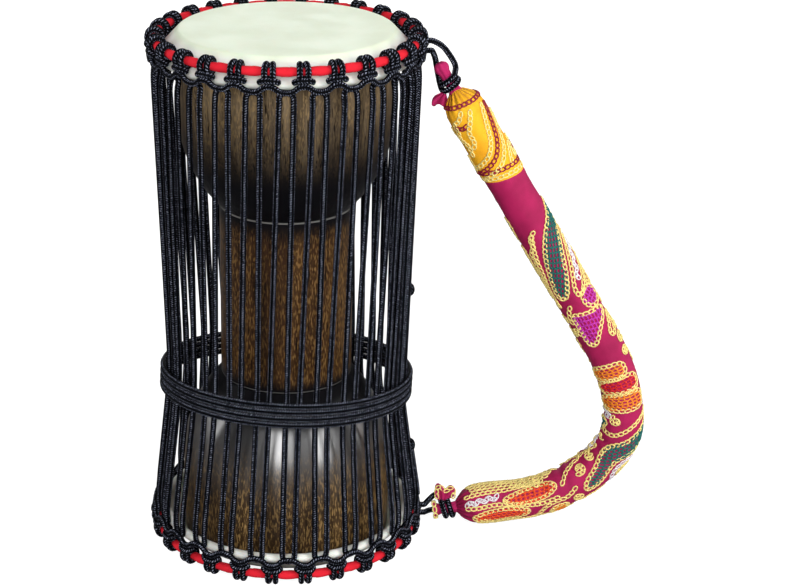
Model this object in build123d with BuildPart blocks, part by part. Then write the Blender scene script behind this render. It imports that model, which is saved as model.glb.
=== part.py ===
from build123d import *
import os
from dataclasses import dataclass
from math import acos, asin, atan2, cos, degrees, hypot, pi, radians, sin, sqrt

# Hourglass talking drum with laced heads, a cord belt round its waist and a stuffed shoulder strap.
# Millimetres. The origin is on the drum's axis at the surface it stands on, +Z up, the strap on +X.
# Angles run from +X towards +Y, so the front, on -Y, is at -90 degrees.

# Wooden body
rim_radius = 80.0
rim_wall = 9.0
edge_round = 3.0
inner_edge_round = 1.5
neck_radius = 50.0
neck_length = 136.0
neck_bore_radius = 36.0
crease_chamfer = 0.8
spigot_radius = 44.0
spigot_length = 14.0
glue_gap = 0.1
bowl_curve_height = 72.0

# Heads and hoops
ring_spacing = 388.0
head_rise = 6.5
skin_thickness = 0.8
skin_fit = 0.05
hoop_diameter = 5.2
hoop_inset = 5.0
hoop_drop = 11.0
lap_angle = 215.0

# Crown rings
upper_ring_radius = 95.5
lower_ring_radius = 99.5
ring_core_diameter = 5.0
ring_wrap_wall = 0.4
ring_wrap_fit = 0.05

# Cord
cord_diameter = 4.4
cord_fit = 0.05
cord_clearance = 0.35
stand_flat = 0.5

# Cradle of hitches and swags on each crown ring
hitch_count = 26
lower_hitch_lead = 0.9
loop_spacing = 4.7
collar_half_width = 4.4
collar_end_reach = 2.0
collar_rise = 5.6
collar_drop = 5.0
collar_end_rise = 2.6
collar_end_drop = 6.9
collar_bend = 4.0
swag_rise = 3.6
swag_drop = 13.9
swag_run = 4.5
garland_half_width = 3.2
garland_rise = 4.4
garland_drop = 9.5
garland_bend = 4.5

# Lacing between the two cradles
upper_pair_spread = 3.0
lower_pair_spread = 2.6
bight_rise = -1.0
bight_drop = 15.4
bight_bend = 3.6
leg_rise = 1.5
leg_drop = 24.0
leg_bend = 20.0
waist_bend = 60.0
straight_turn = 0.6
side_bights = 3

# Belt round the lacing
belt_turns = 4
belt_height = 126.5
belt_fall_x = 4.5
belt_fall_y = 9.5
belt_radius = 95.2
belt_gap = 0.45
belt_grip = 13.0
belt_tail = 12.0

# Knots and spare ends on the lacing
knot_radius = 4.6
knot_length = 9.5
knot_round = 1.6
upper_knot_height = 197.0
lower_knot_height = 69.0
tail_angles = (2.6, -0.2)
tail_tops = (63.0, 46.0)
tail_foot = 23.5
tail_lift = 1.6

# Shoulder strap in the XZ plane: its ends by their reach and height from the two swing points
strap_radius = 14.6
strap_wall = 1.2
strap_fill_fit = 0.1
strap_neck_radius = 5.2
strap_taper = 22.0
swell_share = 0.36
strap_top = (13.7, -34.3)
strap_route = (
    (142.9, 130.1),
    (154.9, 88.1),
    (150.4, 56.1),
    (114.4, 23.6),
    (80.4, 11.7),
    (58.4, 10.3),
    (17.9, 3.7),
)
strap_bends = (140.0, 78.0, 36.0, 60.0, 50.0, 60.0)

# Ties at the ends of the strap
tie_turns = 1.5
tie_gap = 0.8
tie_neck_radius = 4.0
tie_neck_fit = 0.1
tie_tail = 10.8
tie_bend = 5.0
strand_bend = 9.0
tie_clearance = 0.5
upper_pivot_heights = (-3.3, -10.7)
lower_pivot_heights = (6.7, -0.1)
upper_coming = ((7.0, 3.5, -6.7), (13.6, 8.5, -15.9))
upper_going = ((4.6, 10.2, -25.9), (2.8, 4.5, -15.9))
lower_coming = ((5.2, 7.5, 9.1),)
lower_going = ((6.8, 9.8, -1.7),)

# Gathered cloth beyond the ties
ruffle_thickness = 4.0
knob_radius = 5.2
upper_flap_outline = (
    (-2.4, -10.0),
    (-6.7, -9.7),
    (-11.7, -15.2),
    (-10.1, -17.2),
    (-6.7, -15.4),
    (-3.3, -17.0),
    (-1.9, -14.2),
)
lower_fan_outline = (
    (-7.1, 9.0),
    (-10.1, 13.9),
    (-9.1, 20.2),
    (-6.5, 21.0),
    (-1.5, 17.0),
    (2.5, 19.6),
    (5.9, 16.8),
    (5.1, 10.8),
    (-0.9, 9.0),
)

# Sizes that follow from those above
cord_radius = cord_diameter / 2
wrap_radius = ring_core_diameter / 2 + ring_wrap_fit + ring_wrap_wall
loop_radius = wrap_radius + cord_fit + cord_radius
lower_ring_z = loop_radius + cord_radius - stand_flat
upper_ring_z = lower_ring_z + ring_spacing
middle_z = (lower_ring_z + upper_ring_z) / 2
rim_top = head_rise - skin_thickness
crease = neck_length / 2 - ring_spacing / 2
pitch = 360 / hitch_count
belt_pitch = cord_diameter + belt_gap
waist_radius = belt_radius - cord_diameter - cord_clearance
swing_over_ring = loop_radius + cord_diameter + tie_clearance

os.makedirs("parts", exist_ok=True)


@dataclass(frozen=True)
class End:
    """One end of the drum: heights in it are measured outwards from its crown ring."""

    name: str
    ring_radius: float
    ring_z: float
    outward: int
    hitch_angle: float
    pair_spread: float

    @property
    def plane(self):
        """The half plane of this end's turned profiles: x is the radius and y the outward height."""
        return Plane((0, 0, self.ring_z), x_dir=(1, 0, 0), z_dir=(0, -self.outward, 0))

    @property
    def swing_point(self):
        """Where the strap's tie leaves the hitches, at the crown ring's height."""
        return Vector(self.ring_radius + swing_over_ring, 0, self.ring_z)

    def place(self, rise, angle, height):
        """A point at a rise over the crown ring's radius, an angle and an outward height."""
        return polar(self.ring_radius + rise, angle, self.ring_z + self.outward * height)


def polar(radius, angle, height):
    return Vector(radius * cos(radians(angle)), radius * sin(radians(angle)), height)


def sideways(angle):
    """The direction in which the angle grows."""
    return Vector(-sin(radians(angle)), cos(radians(angle)), 0)


def arc_points(center, radius, start, end):
    """Start, middle and end of an arc in a profile, by its angles."""
    angles = (start, (start + end) / 2, end)
    return [(center[0] + radius * cos(radians(a)), center[1] + radius * sin(radians(a))) for a in angles]


def turn_at(before, corner, after):
    """How far a route turns at a corner, in degrees."""
    return (corner - before).get_angle(after - corner)


def rounded_route(points, bends):
    """Straight runs joined by tangent arcs, without the corners where the route hardly turns."""
    kept, radii = [points[0]], []
    for corner, after, bend in zip(points[1:-1], points[2:], bends):
        if turn_at(kept[-1], corner, after) > straight_turn:
            kept.append(corner)
            radii.append(bend)
    kept.append(points[-1])
    return FilletPolyline(*kept, radius=radii)


def winding(plane, radius, step, turns, lead_angle):
    """Half circles that climb half a step each, as places of their starts, middles and ends."""
    halves = round(2 * turns)
    base = -step * turns / 2
    along = Vector(cos(radians(lead_angle)), sin(radians(lead_angle)), 0)
    across = Vector(-along.Y, along.X, 0)
    middle_radius = hypot(radius, step / 4)
    arcs = []
    for half in range(halves):
        side = 1 if half % 2 == 0 else -1
        low, high = base + half * step / 2, base + (half + 1) * step / 2
        places = (
            along * radius * side + Vector(0, 0, low),
            across * middle_radius * side + Vector(0, 0, (low + high) / 2),
            along * -radius * side + Vector(0, 0, high),
        )
        arcs.append([plane.from_local_coords(place) for place in places])
    return arcs


def least_self_gap(path, diameter, spacing=1.0, near_diameters=2.5):
    """Least gap of a tube to its own other turns, measured on points along its centre line."""
    count = max(2, int(path.length / spacing))
    points = [path.position_at(i / count) for i in range(count + 1)]
    skip = int(near_diameters * diameter * path.length / count / spacing**2) + 2
    return min(
        (points[i] - points[j]).length for i in range(len(points)) for j in range(i + skip, len(points))
    ) - diameter


def tube(line, radius):
    """A round tube swept along a finished line."""
    path = line.wire()
    with BuildPart() as swept:
        with BuildSketch(Plane(path @ 0, z_dir=path % 0)):
            Circle(radius)
        sweep(path=path)
    return swept.part


def write(piece, name):
    piece.label = name
    export_step(piece, f"parts/{name}.step")


ends = (
    End("upper", upper_ring_radius, upper_ring_z, 1, 0.0, upper_pair_spread),
    End("lower", lower_ring_radius, lower_ring_z, -1, lower_hitch_lead, lower_pair_spread),
)
upper_end, lower_end = ends

# Bowls: a straight rim, then a curve down to the crease where the neck begins
curve_top = crease + bowl_curve_height
curve_offset = rim_radius - neck_radius
curve_radius = (curve_offset**2 + bowl_curve_height**2) / (2 * curve_offset)
curve_center = (rim_radius - curve_radius, curve_top)
crease_angle = degrees(atan2(-bowl_curve_height, neck_radius - curve_center[0]))
inner_radius = rim_radius - rim_wall
inner_curve_radius = curve_radius - rim_wall
floor = crease + spigot_length
floor_angle = degrees(atan2(floor - curve_top, sqrt(inner_curve_radius**2 - (floor - curve_top) ** 2)))

for end in ends:
    with BuildPart() as bowl:
        with BuildSketch(end.plane) as bowl_profile:
            with BuildLine():
                outer = ThreePointArc(*arc_points(curve_center, curve_radius, 0, crease_angle))
                inner = ThreePointArc(*arc_points(curve_center, inner_curve_radius, floor_angle, 0))
                Polyline(outer @ 1, (spigot_radius, crease), (spigot_radius, floor), inner @ 0)
                Polyline(inner @ 1, (inner_radius, rim_top), (rim_radius, rim_top), outer @ 0)
            make_face()
            rim_corners = bowl_profile.vertices().group_by(Axis.Y)[-1].sort_by(Axis.X)
            fillet(rim_corners[-1], edge_round)
            inner_corner = bowl_profile.vertices().group_by(Axis.Y)[-1].sort_by(Axis.X)[0]
            fillet(inner_corner, inner_edge_round)
            crease_corner = bowl_profile.vertices().group_by(Axis.Y)[0].sort_by(Axis.X)[-1]
            chamfer(crease_corner, crease_chamfer)
        revolve(axis=Axis.Z)
    write(bowl.part, f"{end.name}_bowl")

# Neck: a waist with a bore and a spigot into each bowl
with BuildPart() as neck:
    with BuildSketch(Plane.XY.offset(middle_z)):
        Circle(neck_radius)
    extrude(amount=neck_length / 2, both=True)
    chamfer(neck.edges().filter_by(GeomType.CIRCLE), crease_chamfer)
    with BuildSketch(Plane.XY.offset(middle_z)):
        Circle(spigot_radius - glue_gap)
    extrude(amount=neck_length / 2 + spigot_length - glue_gap, both=True)
    with BuildSketch(Plane.XY.offset(middle_z)):
        Circle(neck_bore_radius)
    extrude(amount=neck_length / 2 + spigot_length, both=True, mode=Mode.SUBTRACT)
write(neck.part, "neck_tube")

# Heads: a flat skin over the rim, sloping to the flesh hoop and lapped round it
for end in ends:
    edge_center = (rim_radius - edge_round, rim_top - edge_round)
    hoop_center = (end.ring_radius - hoop_inset, -hoop_drop)
    edge_inner = edge_round + skin_fit
    hoop_inner = hoop_diameter / 2 + skin_fit
    to_hoop = (hoop_center[0] - edge_center[0], hoop_center[1] - edge_center[1])
    lean = degrees(acos((edge_inner - hoop_inner) / hypot(*to_hoop)))
    slope_angle = degrees(atan2(to_hoop[1], to_hoop[0])) + lean
    with BuildPart() as head:
        with BuildSketch(end.plane):
            with BuildLine():
                edge_under = ThreePointArc(*arc_points(edge_center, edge_inner, 90, slope_angle))
                lap_under = ThreePointArc(
                    *arc_points(hoop_center, hoop_inner, slope_angle, slope_angle - lap_angle)
                )
                lap_over = ThreePointArc(
                    *arc_points(hoop_center, hoop_inner + skin_thickness, slope_angle - lap_angle, slope_angle)
                )
                edge_over = ThreePointArc(
                    *arc_points(edge_center, edge_inner + skin_thickness, slope_angle, 90)
                )
                Line(edge_under @ 1, lap_under @ 0)
                Line(lap_under @ 1, lap_over @ 0)
                Line(lap_over @ 1, edge_over @ 0)
                Polyline(
                    edge_over @ 1,
                    (0, edge_center[1] + edge_inner + skin_thickness),
                    (0, edge_center[1] + edge_inner),
                    edge_under @ 0,
                )
            make_face()
        revolve(axis=Axis.Z)
    write(head.part, f"{end.name}_head")

    with BuildPart() as flesh_hoop:
        with BuildSketch(end.plane):
            with Locations(hoop_center):
                Circle(hoop_diameter / 2)
        revolve(axis=Axis.Z)
    write(flesh_hoop.part, f"{end.name}_flesh_hoop")

# Crown rings and their cloth
for end in ends:
    with BuildPart() as crown_ring:
        with BuildSketch(end.plane):
            with Locations((end.ring_radius, 0)):
                Circle(ring_core_diameter / 2)
        revolve(axis=Axis.Z)
    write(crown_ring.part, f"{end.name}_crown_ring")

    with BuildPart() as ring_wrap:
        with BuildSketch(end.plane):
            with Locations((end.ring_radius, 0)):
                Circle(wrap_radius)
                Circle(ring_core_diameter / 2 + ring_wrap_fit, mode=Mode.SUBTRACT)
        revolve(axis=Axis.Z)
    write(ring_wrap.part, f"{end.name}_ring_wrap")


def hitch(end):
    """One hitch on the ring: two loops under a collar."""
    angle_of = 180 / (pi * end.ring_radius)
    home = end.hitch_angle
    collar_ends = [
        end.place(
            collar_end_rise, home + side * (collar_half_width + collar_end_reach) * angle_of, -collar_end_drop
        )
        for side in (-1, 1)
    ]
    collar_turns = [
        end.place(collar_rise, home + side * collar_half_width * angle_of, -collar_drop) for side in (-1, 1)
    ]
    with BuildLine() as collar:
        FilletPolyline(collar_ends[0], *collar_turns, collar_ends[1], radius=collar_bend)
    collar_cord = tube(collar, cord_radius)
    with BuildPart() as knotted:
        add(collar_cord)
        for side in (-1, 1):
            loop_angle = home + side * loop_spacing / 2 * angle_of
            loop_plane = Plane(
                end.place(0, loop_angle, 0), x_dir=polar(-1, loop_angle, 0), z_dir=sideways(loop_angle)
            )
            add(loop_plane * Torus(loop_radius, cord_radius, mode=Mode.PRIVATE))
        split(bisect_by=Plane.XY, keep=Keep.TOP)
    return knotted.part


def garland(end):
    """The cord that hangs from one hitch, with half a swag to each side."""
    angle_of = 180 / (pi * end.ring_radius)
    home = end.hitch_angle
    swag_angles = (home - pitch / 2, home + pitch / 2)
    swag_ends = [end.place(swag_rise, a, -swag_drop) for a in swag_angles]
    swag_turns = [
        swag_ends[0] + sideways(swag_angles[0]) * swag_run,
        swag_ends[1] - sideways(swag_angles[1]) * swag_run,
    ]
    garland_tops = [
        end.place(garland_rise, home + side * garland_half_width * angle_of, -garland_drop) for side in (-1, 1)
    ]
    with BuildLine() as hanging:
        FilletPolyline(
            swag_ends[0],
            swag_turns[0],
            garland_tops[0],
            garland_tops[1],
            swag_turns[1],
            swag_ends[1],
            radius=garland_bend,
        )
    return tube(hanging, cord_radius)


for end in ends:
    link = (hitch(end), garland(end))
    links = [place * piece for place in PolarLocations(0, hitch_count) for piece in link]
    write(Compound(links), f"{end.name}_cradle")

# Belt: one cord wound round the lacing, tilted, its tails laid straight
belt_plane = Plane(
    (0, 0, belt_height),
    x_dir=(1, 0, -belt_fall_x / belt_radius),
    z_dir=(belt_fall_x / belt_radius, belt_fall_y / belt_radius, 1),
)
belt_arcs = winding(belt_plane, belt_radius, belt_pitch, belt_turns, 90)
with BuildLine() as belt_line:
    first_turn = ThreePointArc(*belt_arcs[0])
    Line(first_turn @ 0 - (first_turn % 0) * belt_tail, first_turn @ 0)
    for arc in belt_arcs[1:]:
        last_turn = ThreePointArc(*arc)
    Line(last_turn @ 1, last_turn @ 1 + (last_turn % 1) * belt_tail)
write(tube(belt_line, cord_radius), "tuning_belt")
print("belt gap to itself", round(least_self_gap(belt_line.wire(), cord_diameter), 3))


def pair_angle(end, number):
    """The middle of a pair of cords, between two hitches."""
    return end.hitch_angle + (number + 0.5) * pitch


def leg_points(number, upper_side, lower_number, lower_side):
    """Places of one cord from the upper bight's corner down to the lower bight's middle."""
    top = pair_angle(upper_end, number) + upper_side * upper_end.pair_spread
    low_middle = pair_angle(lower_end, lower_number)
    low = low_middle + lower_side * lower_end.pair_spread
    top_leg = upper_end.place(leg_rise, top, -leg_drop)
    low_leg = lower_end.place(leg_rise, low, -leg_drop)
    share = (top_leg.Z - belt_height) / (top_leg.Z - low_leg.Z)
    waist = top + (low - top) * share
    grips = [
        belt_plane.from_local_coords(polar(waist_radius, waist, side * belt_grip)) for side in (1, -1)
    ]
    bight_end = lower_end.place(bight_rise, low_middle, -bight_drop)
    reach = (lower_end.ring_radius + bight_rise) * radians(lower_end.pair_spread) * lower_side
    bight_corner = bight_end + sideways(low_middle) * reach
    top_corner = upper_end.place(bight_rise, top, -bight_drop)
    return [top_corner, top_leg, *grips, low_leg, bight_corner, bight_end]


def lace(number):
    """One bight of lacing: up from a lower bight, over the upper swag and down to the next one."""
    left = leg_points(number, -1, number - 1, 1)
    right = leg_points(number, 1, number, -1)
    bends = [bight_bend, leg_bend, waist_bend, waist_bend, leg_bend, bight_bend]
    with BuildLine() as line:
        rounded_route(left[::-1] + right, bends[::-1] + bends)
    return tube(line, cord_radius)


def lacing(middle_angle, reach):
    """The numbers of the bights on one side, from the middle to a reach either way."""
    middle = round((middle_angle - upper_end.hitch_angle) / pitch - 0.5)
    return range(middle - reach, middle + reach + 1)


front = [n % hitch_count for n in lacing(-90, side_bights)]
back = [n % hitch_count for n in lacing(90, side_bights)]
others = [n for n in range(hitch_count) if n not in front + back]
right = [n for n in others if cos(radians(pair_angle(upper_end, n))) > 0]
left = [n for n in others if n not in right]
for name, numbers in {"front": front, "back": back, "left": left, "right": right}.items():
    laces = [lace(number) for number in numbers]
    write(Compound(laces), f"{name}_cords")

# Stopper knots on a cord on the right, one over the belt and one under it
knot_leg = leg_points(0, -1, -1, 1)
for name, height in {"upper": upper_knot_height, "lower": lower_knot_height}.items():
    above, below = (knot_leg[1], knot_leg[2]) if height > belt_height else (knot_leg[3], knot_leg[4])
    way = (above - below).normalized()
    center = below + way * ((height - below.Z) / way.Z)
    with BuildPart() as knot:
        with BuildSketch(Plane(center, z_dir=way)):
            Circle(knot_radius)
        extrude(amount=knot_length / 2, both=True)
        fillet(knot.edges().filter_by(GeomType.CIRCLE), knot_round)
        with BuildSketch(Plane(center, z_dir=way)):
            Circle(cord_radius + cord_fit)
        extrude(amount=knot_length, both=True, mode=Mode.SUBTRACT)
    write(knot.part, f"{name}_lacing_knot")


# Spare cord ends, laid down between the cords to the lower cradle
def tail_place(angle, height):
    """A point of a spare end, just outside the cords at its height."""
    waist_place, foot_place = knot_leg[3:5]
    share = (height - waist_place.Z) / (foot_place.Z - waist_place.Z)
    radii = [hypot(place.X, place.Y) for place in (waist_place, foot_place)]
    return polar(radii[0] + (radii[1] - radii[0]) * share + tail_lift, angle, height)


tails = []
for angle, top in zip(tail_angles, tail_tops):
    with BuildLine() as tail_line:
        Line(tail_place(angle, top), tail_place(angle, tail_foot))
    tails.append(tube(tail_line, cord_radius))
write(Compound(tails), "lacing_tail")

# Strap: a stuffed tube that tapers to a gathered neck at each end
strap_places = [upper_end.swing_point + Vector(strap_top[0], 0, strap_top[1])]
strap_places += [lower_end.swing_point + Vector(x, 0, z) for x, z in strap_route]
upper_way = (strap_places[1] - strap_places[0]).normalized()
lower_way = (strap_places[-2] - strap_places[-1]).normalized()
neck_span = tie_turns * (cord_diameter + tie_gap) / 2 + cord_diameter
knob_angle = 180 - degrees(asin(tie_neck_radius / knob_radius))
knob_center = 2 * neck_span - knob_radius * cos(radians(knob_angle))


def strap_nose(start, way, inset):
    """The tapering end of the strap, turned about its own run."""
    nose_plane = Plane(start, x_dir=way, z_dir=(0, 1, 0))
    taper_end = strap_taper + neck_span
    swell_radius = strap_radius + (strap_neck_radius - strap_radius) * swell_share
    with BuildPart() as nose:
        with BuildSketch(nose_plane):
            with BuildLine():
                swell = ThreePointArc(
                    (neck_span, strap_neck_radius - inset),
                    (neck_span + strap_taper * swell_share, swell_radius - inset),
                    (taper_end, strap_radius - inset),
                )
                Polyline(swell @ 1, (taper_end, 0), (neck_span, 0), swell @ 0)
            make_face()
        revolve(axis=Axis(start, way))
    return nose.part


def strap_solid(inset):
    """The strap inside its outline by an inset."""
    body_start = strap_places[0] + upper_way * (strap_taper + neck_span)
    body_end = strap_places[-1] + lower_way * (strap_taper + neck_span)
    with BuildLine() as strap_line:
        FilletPolyline(body_start, *strap_places[1:-1], body_end, radius=strap_bends)
    body = tube(strap_line, strap_radius - inset)
    noses = [
        strap_nose(strap_places[0], upper_way, inset),
        strap_nose(strap_places[-1], lower_way, inset),
    ]
    with BuildPart() as solid:
        add(body)
        add(noses)
    return solid.part


strap_outside = strap_solid(0)
strap_inside = strap_solid(strap_wall)
with BuildPart() as strap_cover:
    add(strap_outside)
    add(strap_inside, mode=Mode.SUBTRACT)
write(strap_cover.part, "strap_cover")
write(strap_solid(strap_wall + strap_fill_fit), "strap_filling")

# Ties: one cord from the crown ring, round the strap's neck and back to the ring
tie_radius = tie_neck_radius + tie_neck_fit + cord_radius


def tie_line(neck_point, way, pivots, coming, going):
    """The tie's route: a strand coming in, a winding round the neck and a strand going back."""
    neck_plane = Plane(neck_point, x_dir=Vector(0, 1, 0).cross(way), z_dir=way)
    arcs = winding(neck_plane, tie_radius, cord_diameter + tie_gap, tie_turns, 180)
    with BuildLine() as line:
        turns = [ThreePointArc(*arc) for arc in arcs]
        entry = turns[0] @ 0 - (turns[0] % 0) * tie_tail
        leave = turns[-1] @ 1 + (turns[-1] % 1) * tie_tail
        first_bends = [strand_bend] * len(coming) + [tie_bend]
        last_bends = [tie_bend] + [strand_bend] * len(going)
        FilletPolyline(pivots[0], *coming, entry, turns[0] @ 0, radius=first_bends)
        FilletPolyline(turns[-1] @ 1, leave, *going, pivots[1], radius=last_bends)
    return line


swing_line = upper_end.swing_point - lower_end.swing_point


def swing_place(height):
    """A point of the strap's swing axis, which leans from one ring's hitches to the other's."""
    return lower_end.swing_point + swing_line * ((height - lower_end.ring_z) / swing_line.Z)


tie_ends = {
    upper_end: (strap_places[0], upper_way, upper_pivot_heights, upper_coming, upper_going),
    lower_end: (strap_places[-1], lower_way, lower_pivot_heights, lower_coming, lower_going),
}
for end, (neck_point, way, heights, *strands) in tie_ends.items():
    pivots = [swing_place(end.ring_z + height) for height in heights]
    coming, going = ([end.swing_point + Vector(*offset) for offset in strand] for strand in strands)
    line = tie_line(neck_point, way, pivots, coming, going)
    write(tube(line, cord_radius), f"{end.name}_strap_tie")
    print(end.name, "tie gap to itself", round(least_self_gap(line.wire(), cord_diameter), 3))

# Gathered cloth: the neck through the tie, and what flares out beyond it
with BuildPart() as upper_ruffle:
    with BuildSketch(Plane(strap_places[0] + upper_way * neck_span, x_dir=-upper_way, z_dir=(0, 1, 0))):
        with BuildLine():
            knob = ThreePointArc(*arc_points((knob_center, 0), knob_radius, knob_angle, 0))
            Polyline(knob @ 1, (0, 0), (0, tie_neck_radius), knob @ 0)
        make_face()
    revolve(axis=Axis(strap_places[0], upper_way))
    with BuildSketch(Plane.XZ):
        with BuildLine():
            Polyline(*[(strap_places[0].X + x, strap_places[0].Z + z) for x, z in upper_flap_outline], close=True)
        make_face()
    extrude(amount=ruffle_thickness / 2, both=True)
write(upper_ruffle.part, "upper_strap_ruffle")

with BuildPart() as lower_ruffle:
    with BuildSketch(Plane(strap_places[-1] + lower_way * neck_span, z_dir=-lower_way)):
        Circle(tie_neck_radius)
    extrude(amount=neck_span + neck_span)
    with BuildSketch(Plane.XZ):
        with BuildLine():
            Polyline(*[(strap_places[-1].X + x, strap_places[-1].Z + z) for x, z in lower_fan_outline], close=True)
        make_face()
    extrude(amount=ruffle_thickness / 2, both=True)
write(lower_ruffle.part, "lower_strap_ruffle")
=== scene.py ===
"""Dress an hourglass talking drum: lacquered wood, laced heads, cord belt and stuffed embroidered strap."""

from __future__ import annotations

import logging
import math
from dataclasses import dataclass, field
from enum import Enum
from typing import Callable, Iterable, Sequence

import bpy
import numpy as np
from mathutils import Matrix, Vector
from mathutils.bvhtree import BVHTree


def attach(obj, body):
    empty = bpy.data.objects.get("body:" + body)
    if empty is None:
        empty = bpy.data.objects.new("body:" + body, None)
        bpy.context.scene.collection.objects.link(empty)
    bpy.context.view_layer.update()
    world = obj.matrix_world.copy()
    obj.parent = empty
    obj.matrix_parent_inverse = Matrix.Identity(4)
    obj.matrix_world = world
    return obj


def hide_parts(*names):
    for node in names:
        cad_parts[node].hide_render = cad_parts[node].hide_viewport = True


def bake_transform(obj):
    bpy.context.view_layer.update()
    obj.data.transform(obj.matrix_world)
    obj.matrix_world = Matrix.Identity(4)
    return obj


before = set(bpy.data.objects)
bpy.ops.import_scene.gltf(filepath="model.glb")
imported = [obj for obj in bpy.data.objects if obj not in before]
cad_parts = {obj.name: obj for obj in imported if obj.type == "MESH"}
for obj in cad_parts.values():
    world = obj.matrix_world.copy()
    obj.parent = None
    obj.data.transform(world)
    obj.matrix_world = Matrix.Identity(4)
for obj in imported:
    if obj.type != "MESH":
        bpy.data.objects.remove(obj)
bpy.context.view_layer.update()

MM = 0.001
TURN = math.tau
LOG = logging.getLogger("talking_drum")
Colour = tuple[float, float, float]
Place = tuple[float, float, float]
Spot = tuple[float, float]
Stitch = tuple[Vector, Vector, Vector]
Face = tuple[int, ...]
Piece = bpy.types.Object
Mesh = bpy.types.Mesh
Material = bpy.types.Material
Socket = bpy.types.NodeSocket
WHITE: Colour = (1.0, 1.0, 1.0)
FRONT = Vector((0.0, -1.0, 0.0))


class Body(str, Enum):
    """The moving bodies of the drum."""

    DRUM = "drum"
    FRONT = "front_lacing"
    BACK = "back_lacing"
    BELT = "belt"
    STRAP = "strap"


class Slot(str, Enum):
    """Slot names handed to dress with each new piece, which does not use them."""

    SKIN = "head_skin"
    RED = "red_cloth"
    CORD = "black_cord"
    COTTON = "embroidered_cotton"


class Thread(Enum):
    """Embroidery threads and their colours."""

    STRAW = (0.95, 0.77, 0.26)
    MAROON = (0.29, 0.006, 0.035)
    TEAL = (0.004, 0.135, 0.118)
    WHITE = (0.86, 0.82, 0.86)
    ORANGE = (0.86, 0.235, 0.012)
    RED = (0.66, 0.012, 0.014)
    FLAME = (0.84, 0.075, 0.012)
    VIOLET = (0.56, 0.028, 0.40)

    @property
    def label(self) -> str:
        """The thread's plain name."""
        return self.name.lower()

    @property
    def colour(self) -> Colour:
        """The thread's linear colour."""
        return self.value


def polar(radius: float, angle: float, height: float) -> Vector:
    """A point in millimetres from a radius, an angle in degrees and a height."""
    return Vector((radius * math.cos(math.radians(angle)), radius * math.sin(math.radians(angle)), height))


def sideways(angle: float) -> Vector:
    """The level direction in which an angle in degrees grows."""
    return Vector((-math.sin(math.radians(angle)), math.cos(math.radians(angle)), 0.0))


def control_reach(radius: float, count: int) -> float:
    """How far out a ring of control points stands for its spline to run at a radius.

    A quadratic spline passes each control point at three quarters of it and an eighth of each neighbour.
    """
    return radius / (0.75 + 0.25 * math.cos(TURN / count))


def smooth_line(points: Sequence[Sequence[float]], steps: int = 6, closed: bool = False) -> list[Vector]:
    """Read points along a smooth spline whose control points are given.

    Args:
        points: The route's control points.
        steps: Points read per span of the spline.
        closed: Whether the route joins its own start.

    Returns:
        The points along the spline, in order.
    """
    curve = bpy.data.curves.new("route", "CURVE")
    curve.dimensions = "3D"
    curve.resolution_u = steps
    spline = curve.splines.new("NURBS")
    spline.points.add(len(points) - 1)
    for knot, point in zip(spline.points, points):
        knot.co = (point[0], point[1], point[2], 1.0)
    spline.order_u = 3
    spline.use_endpoint_u = not closed
    spline.use_cyclic_u = closed
    holder = bpy.data.objects.new("route", curve)
    mesh = bpy.data.meshes.new_from_object(holder)
    line = [vertex.co.copy() for vertex in mesh.vertices]
    bpy.data.objects.remove(holder)
    bpy.data.curves.remove(curve)
    bpy.data.meshes.remove(mesh)
    return line


def add_object(name: str, mesh: Mesh) -> Piece:
    """Put a mesh into the scene as an object at the origin.

    Args:
        name: The object's name.
        mesh: Its mesh.

    Returns:
        The new object.
    """
    piece = bpy.data.objects.new(name, mesh)
    bpy.context.scene.collection.objects.link(piece)
    return piece


def mesh_from(
    name: str,
    places: Sequence[Sequence[float]],
    faces: Sequence[Sequence[int]],
    corners: Sequence[Sequence[float]] | None = None,
) -> Mesh:
    """Make a smooth-shaded mesh from points and faces.

    Args:
        name: The mesh's name.
        places: Points in metres.
        faces: Corner numbers of each face.
        corners: Texture places, one for each face corner in order.

    Returns:
        The new mesh.
    """
    mesh = bpy.data.meshes.new(name)
    mesh.from_pydata([tuple(place) for place in places], [], [tuple(face) for face in faces])
    if corners is not None:
        layer = mesh.uv_layers.new(name="UVMap")
        layer.data.foreach_set("uv", np.asarray(corners, dtype=np.float32).ravel())
    mesh.polygons.foreach_set("use_smooth", [True] * len(mesh.polygons))
    mesh.update()
    return mesh


def grid_faces(
    rows: int,
    columns: int,
    chart: Callable[[int, int], Spot] | None = None,
    joined: tuple[bool, bool] = (False, True),
    flip: bool = False,
    first: int = 0,
) -> tuple[list[Face], list[Spot]]:
    """Lay faces over points that are kept row by row.

    Args:
        rows: How many rows of points there are.
        columns: How many points each row has.
        chart: The texture place at a row and a column, either of which may be one past its last.
        joined: Whether the last row joins the first, and the last column the first.
        flip: Whether the faces look the other way.
        first: The first point's number.

    Returns:
        The faces, and the texture place of each of their corners.
    """
    faces = []
    corners = []
    for row in range(rows if joined[0] else rows - 1):
        for column in range(columns if joined[1] else columns - 1):
            marks = [(row, column), (row, column + 1), (row + 1, column + 1), (row + 1, column)]
            if flip:
                marks[1:] = marks[:0:-1]
            faces.append(tuple(first + r % rows * columns + c % columns for r, c in marks))
            corners += [chart(*mark) for mark in marks] if chart else []
    return faces, corners


def baked(piece: Piece, name: str) -> Mesh:
    """Turn an object with its modifiers into a plain mesh, and clear the modifiers.

    Args:
        piece: The object, already in the scene.
        name: The new mesh's name.

    Returns:
        The evaluated mesh, shaded smooth.
    """
    bpy.context.view_layer.update()
    graph = bpy.context.evaluated_depsgraph_get()
    mesh = bpy.data.meshes.new_from_object(piece.evaluated_get(graph))
    mesh.name = name
    mesh.polygons.foreach_set("use_smooth", [True] * len(mesh.polygons))
    piece.modifiers.clear()
    return mesh


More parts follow.
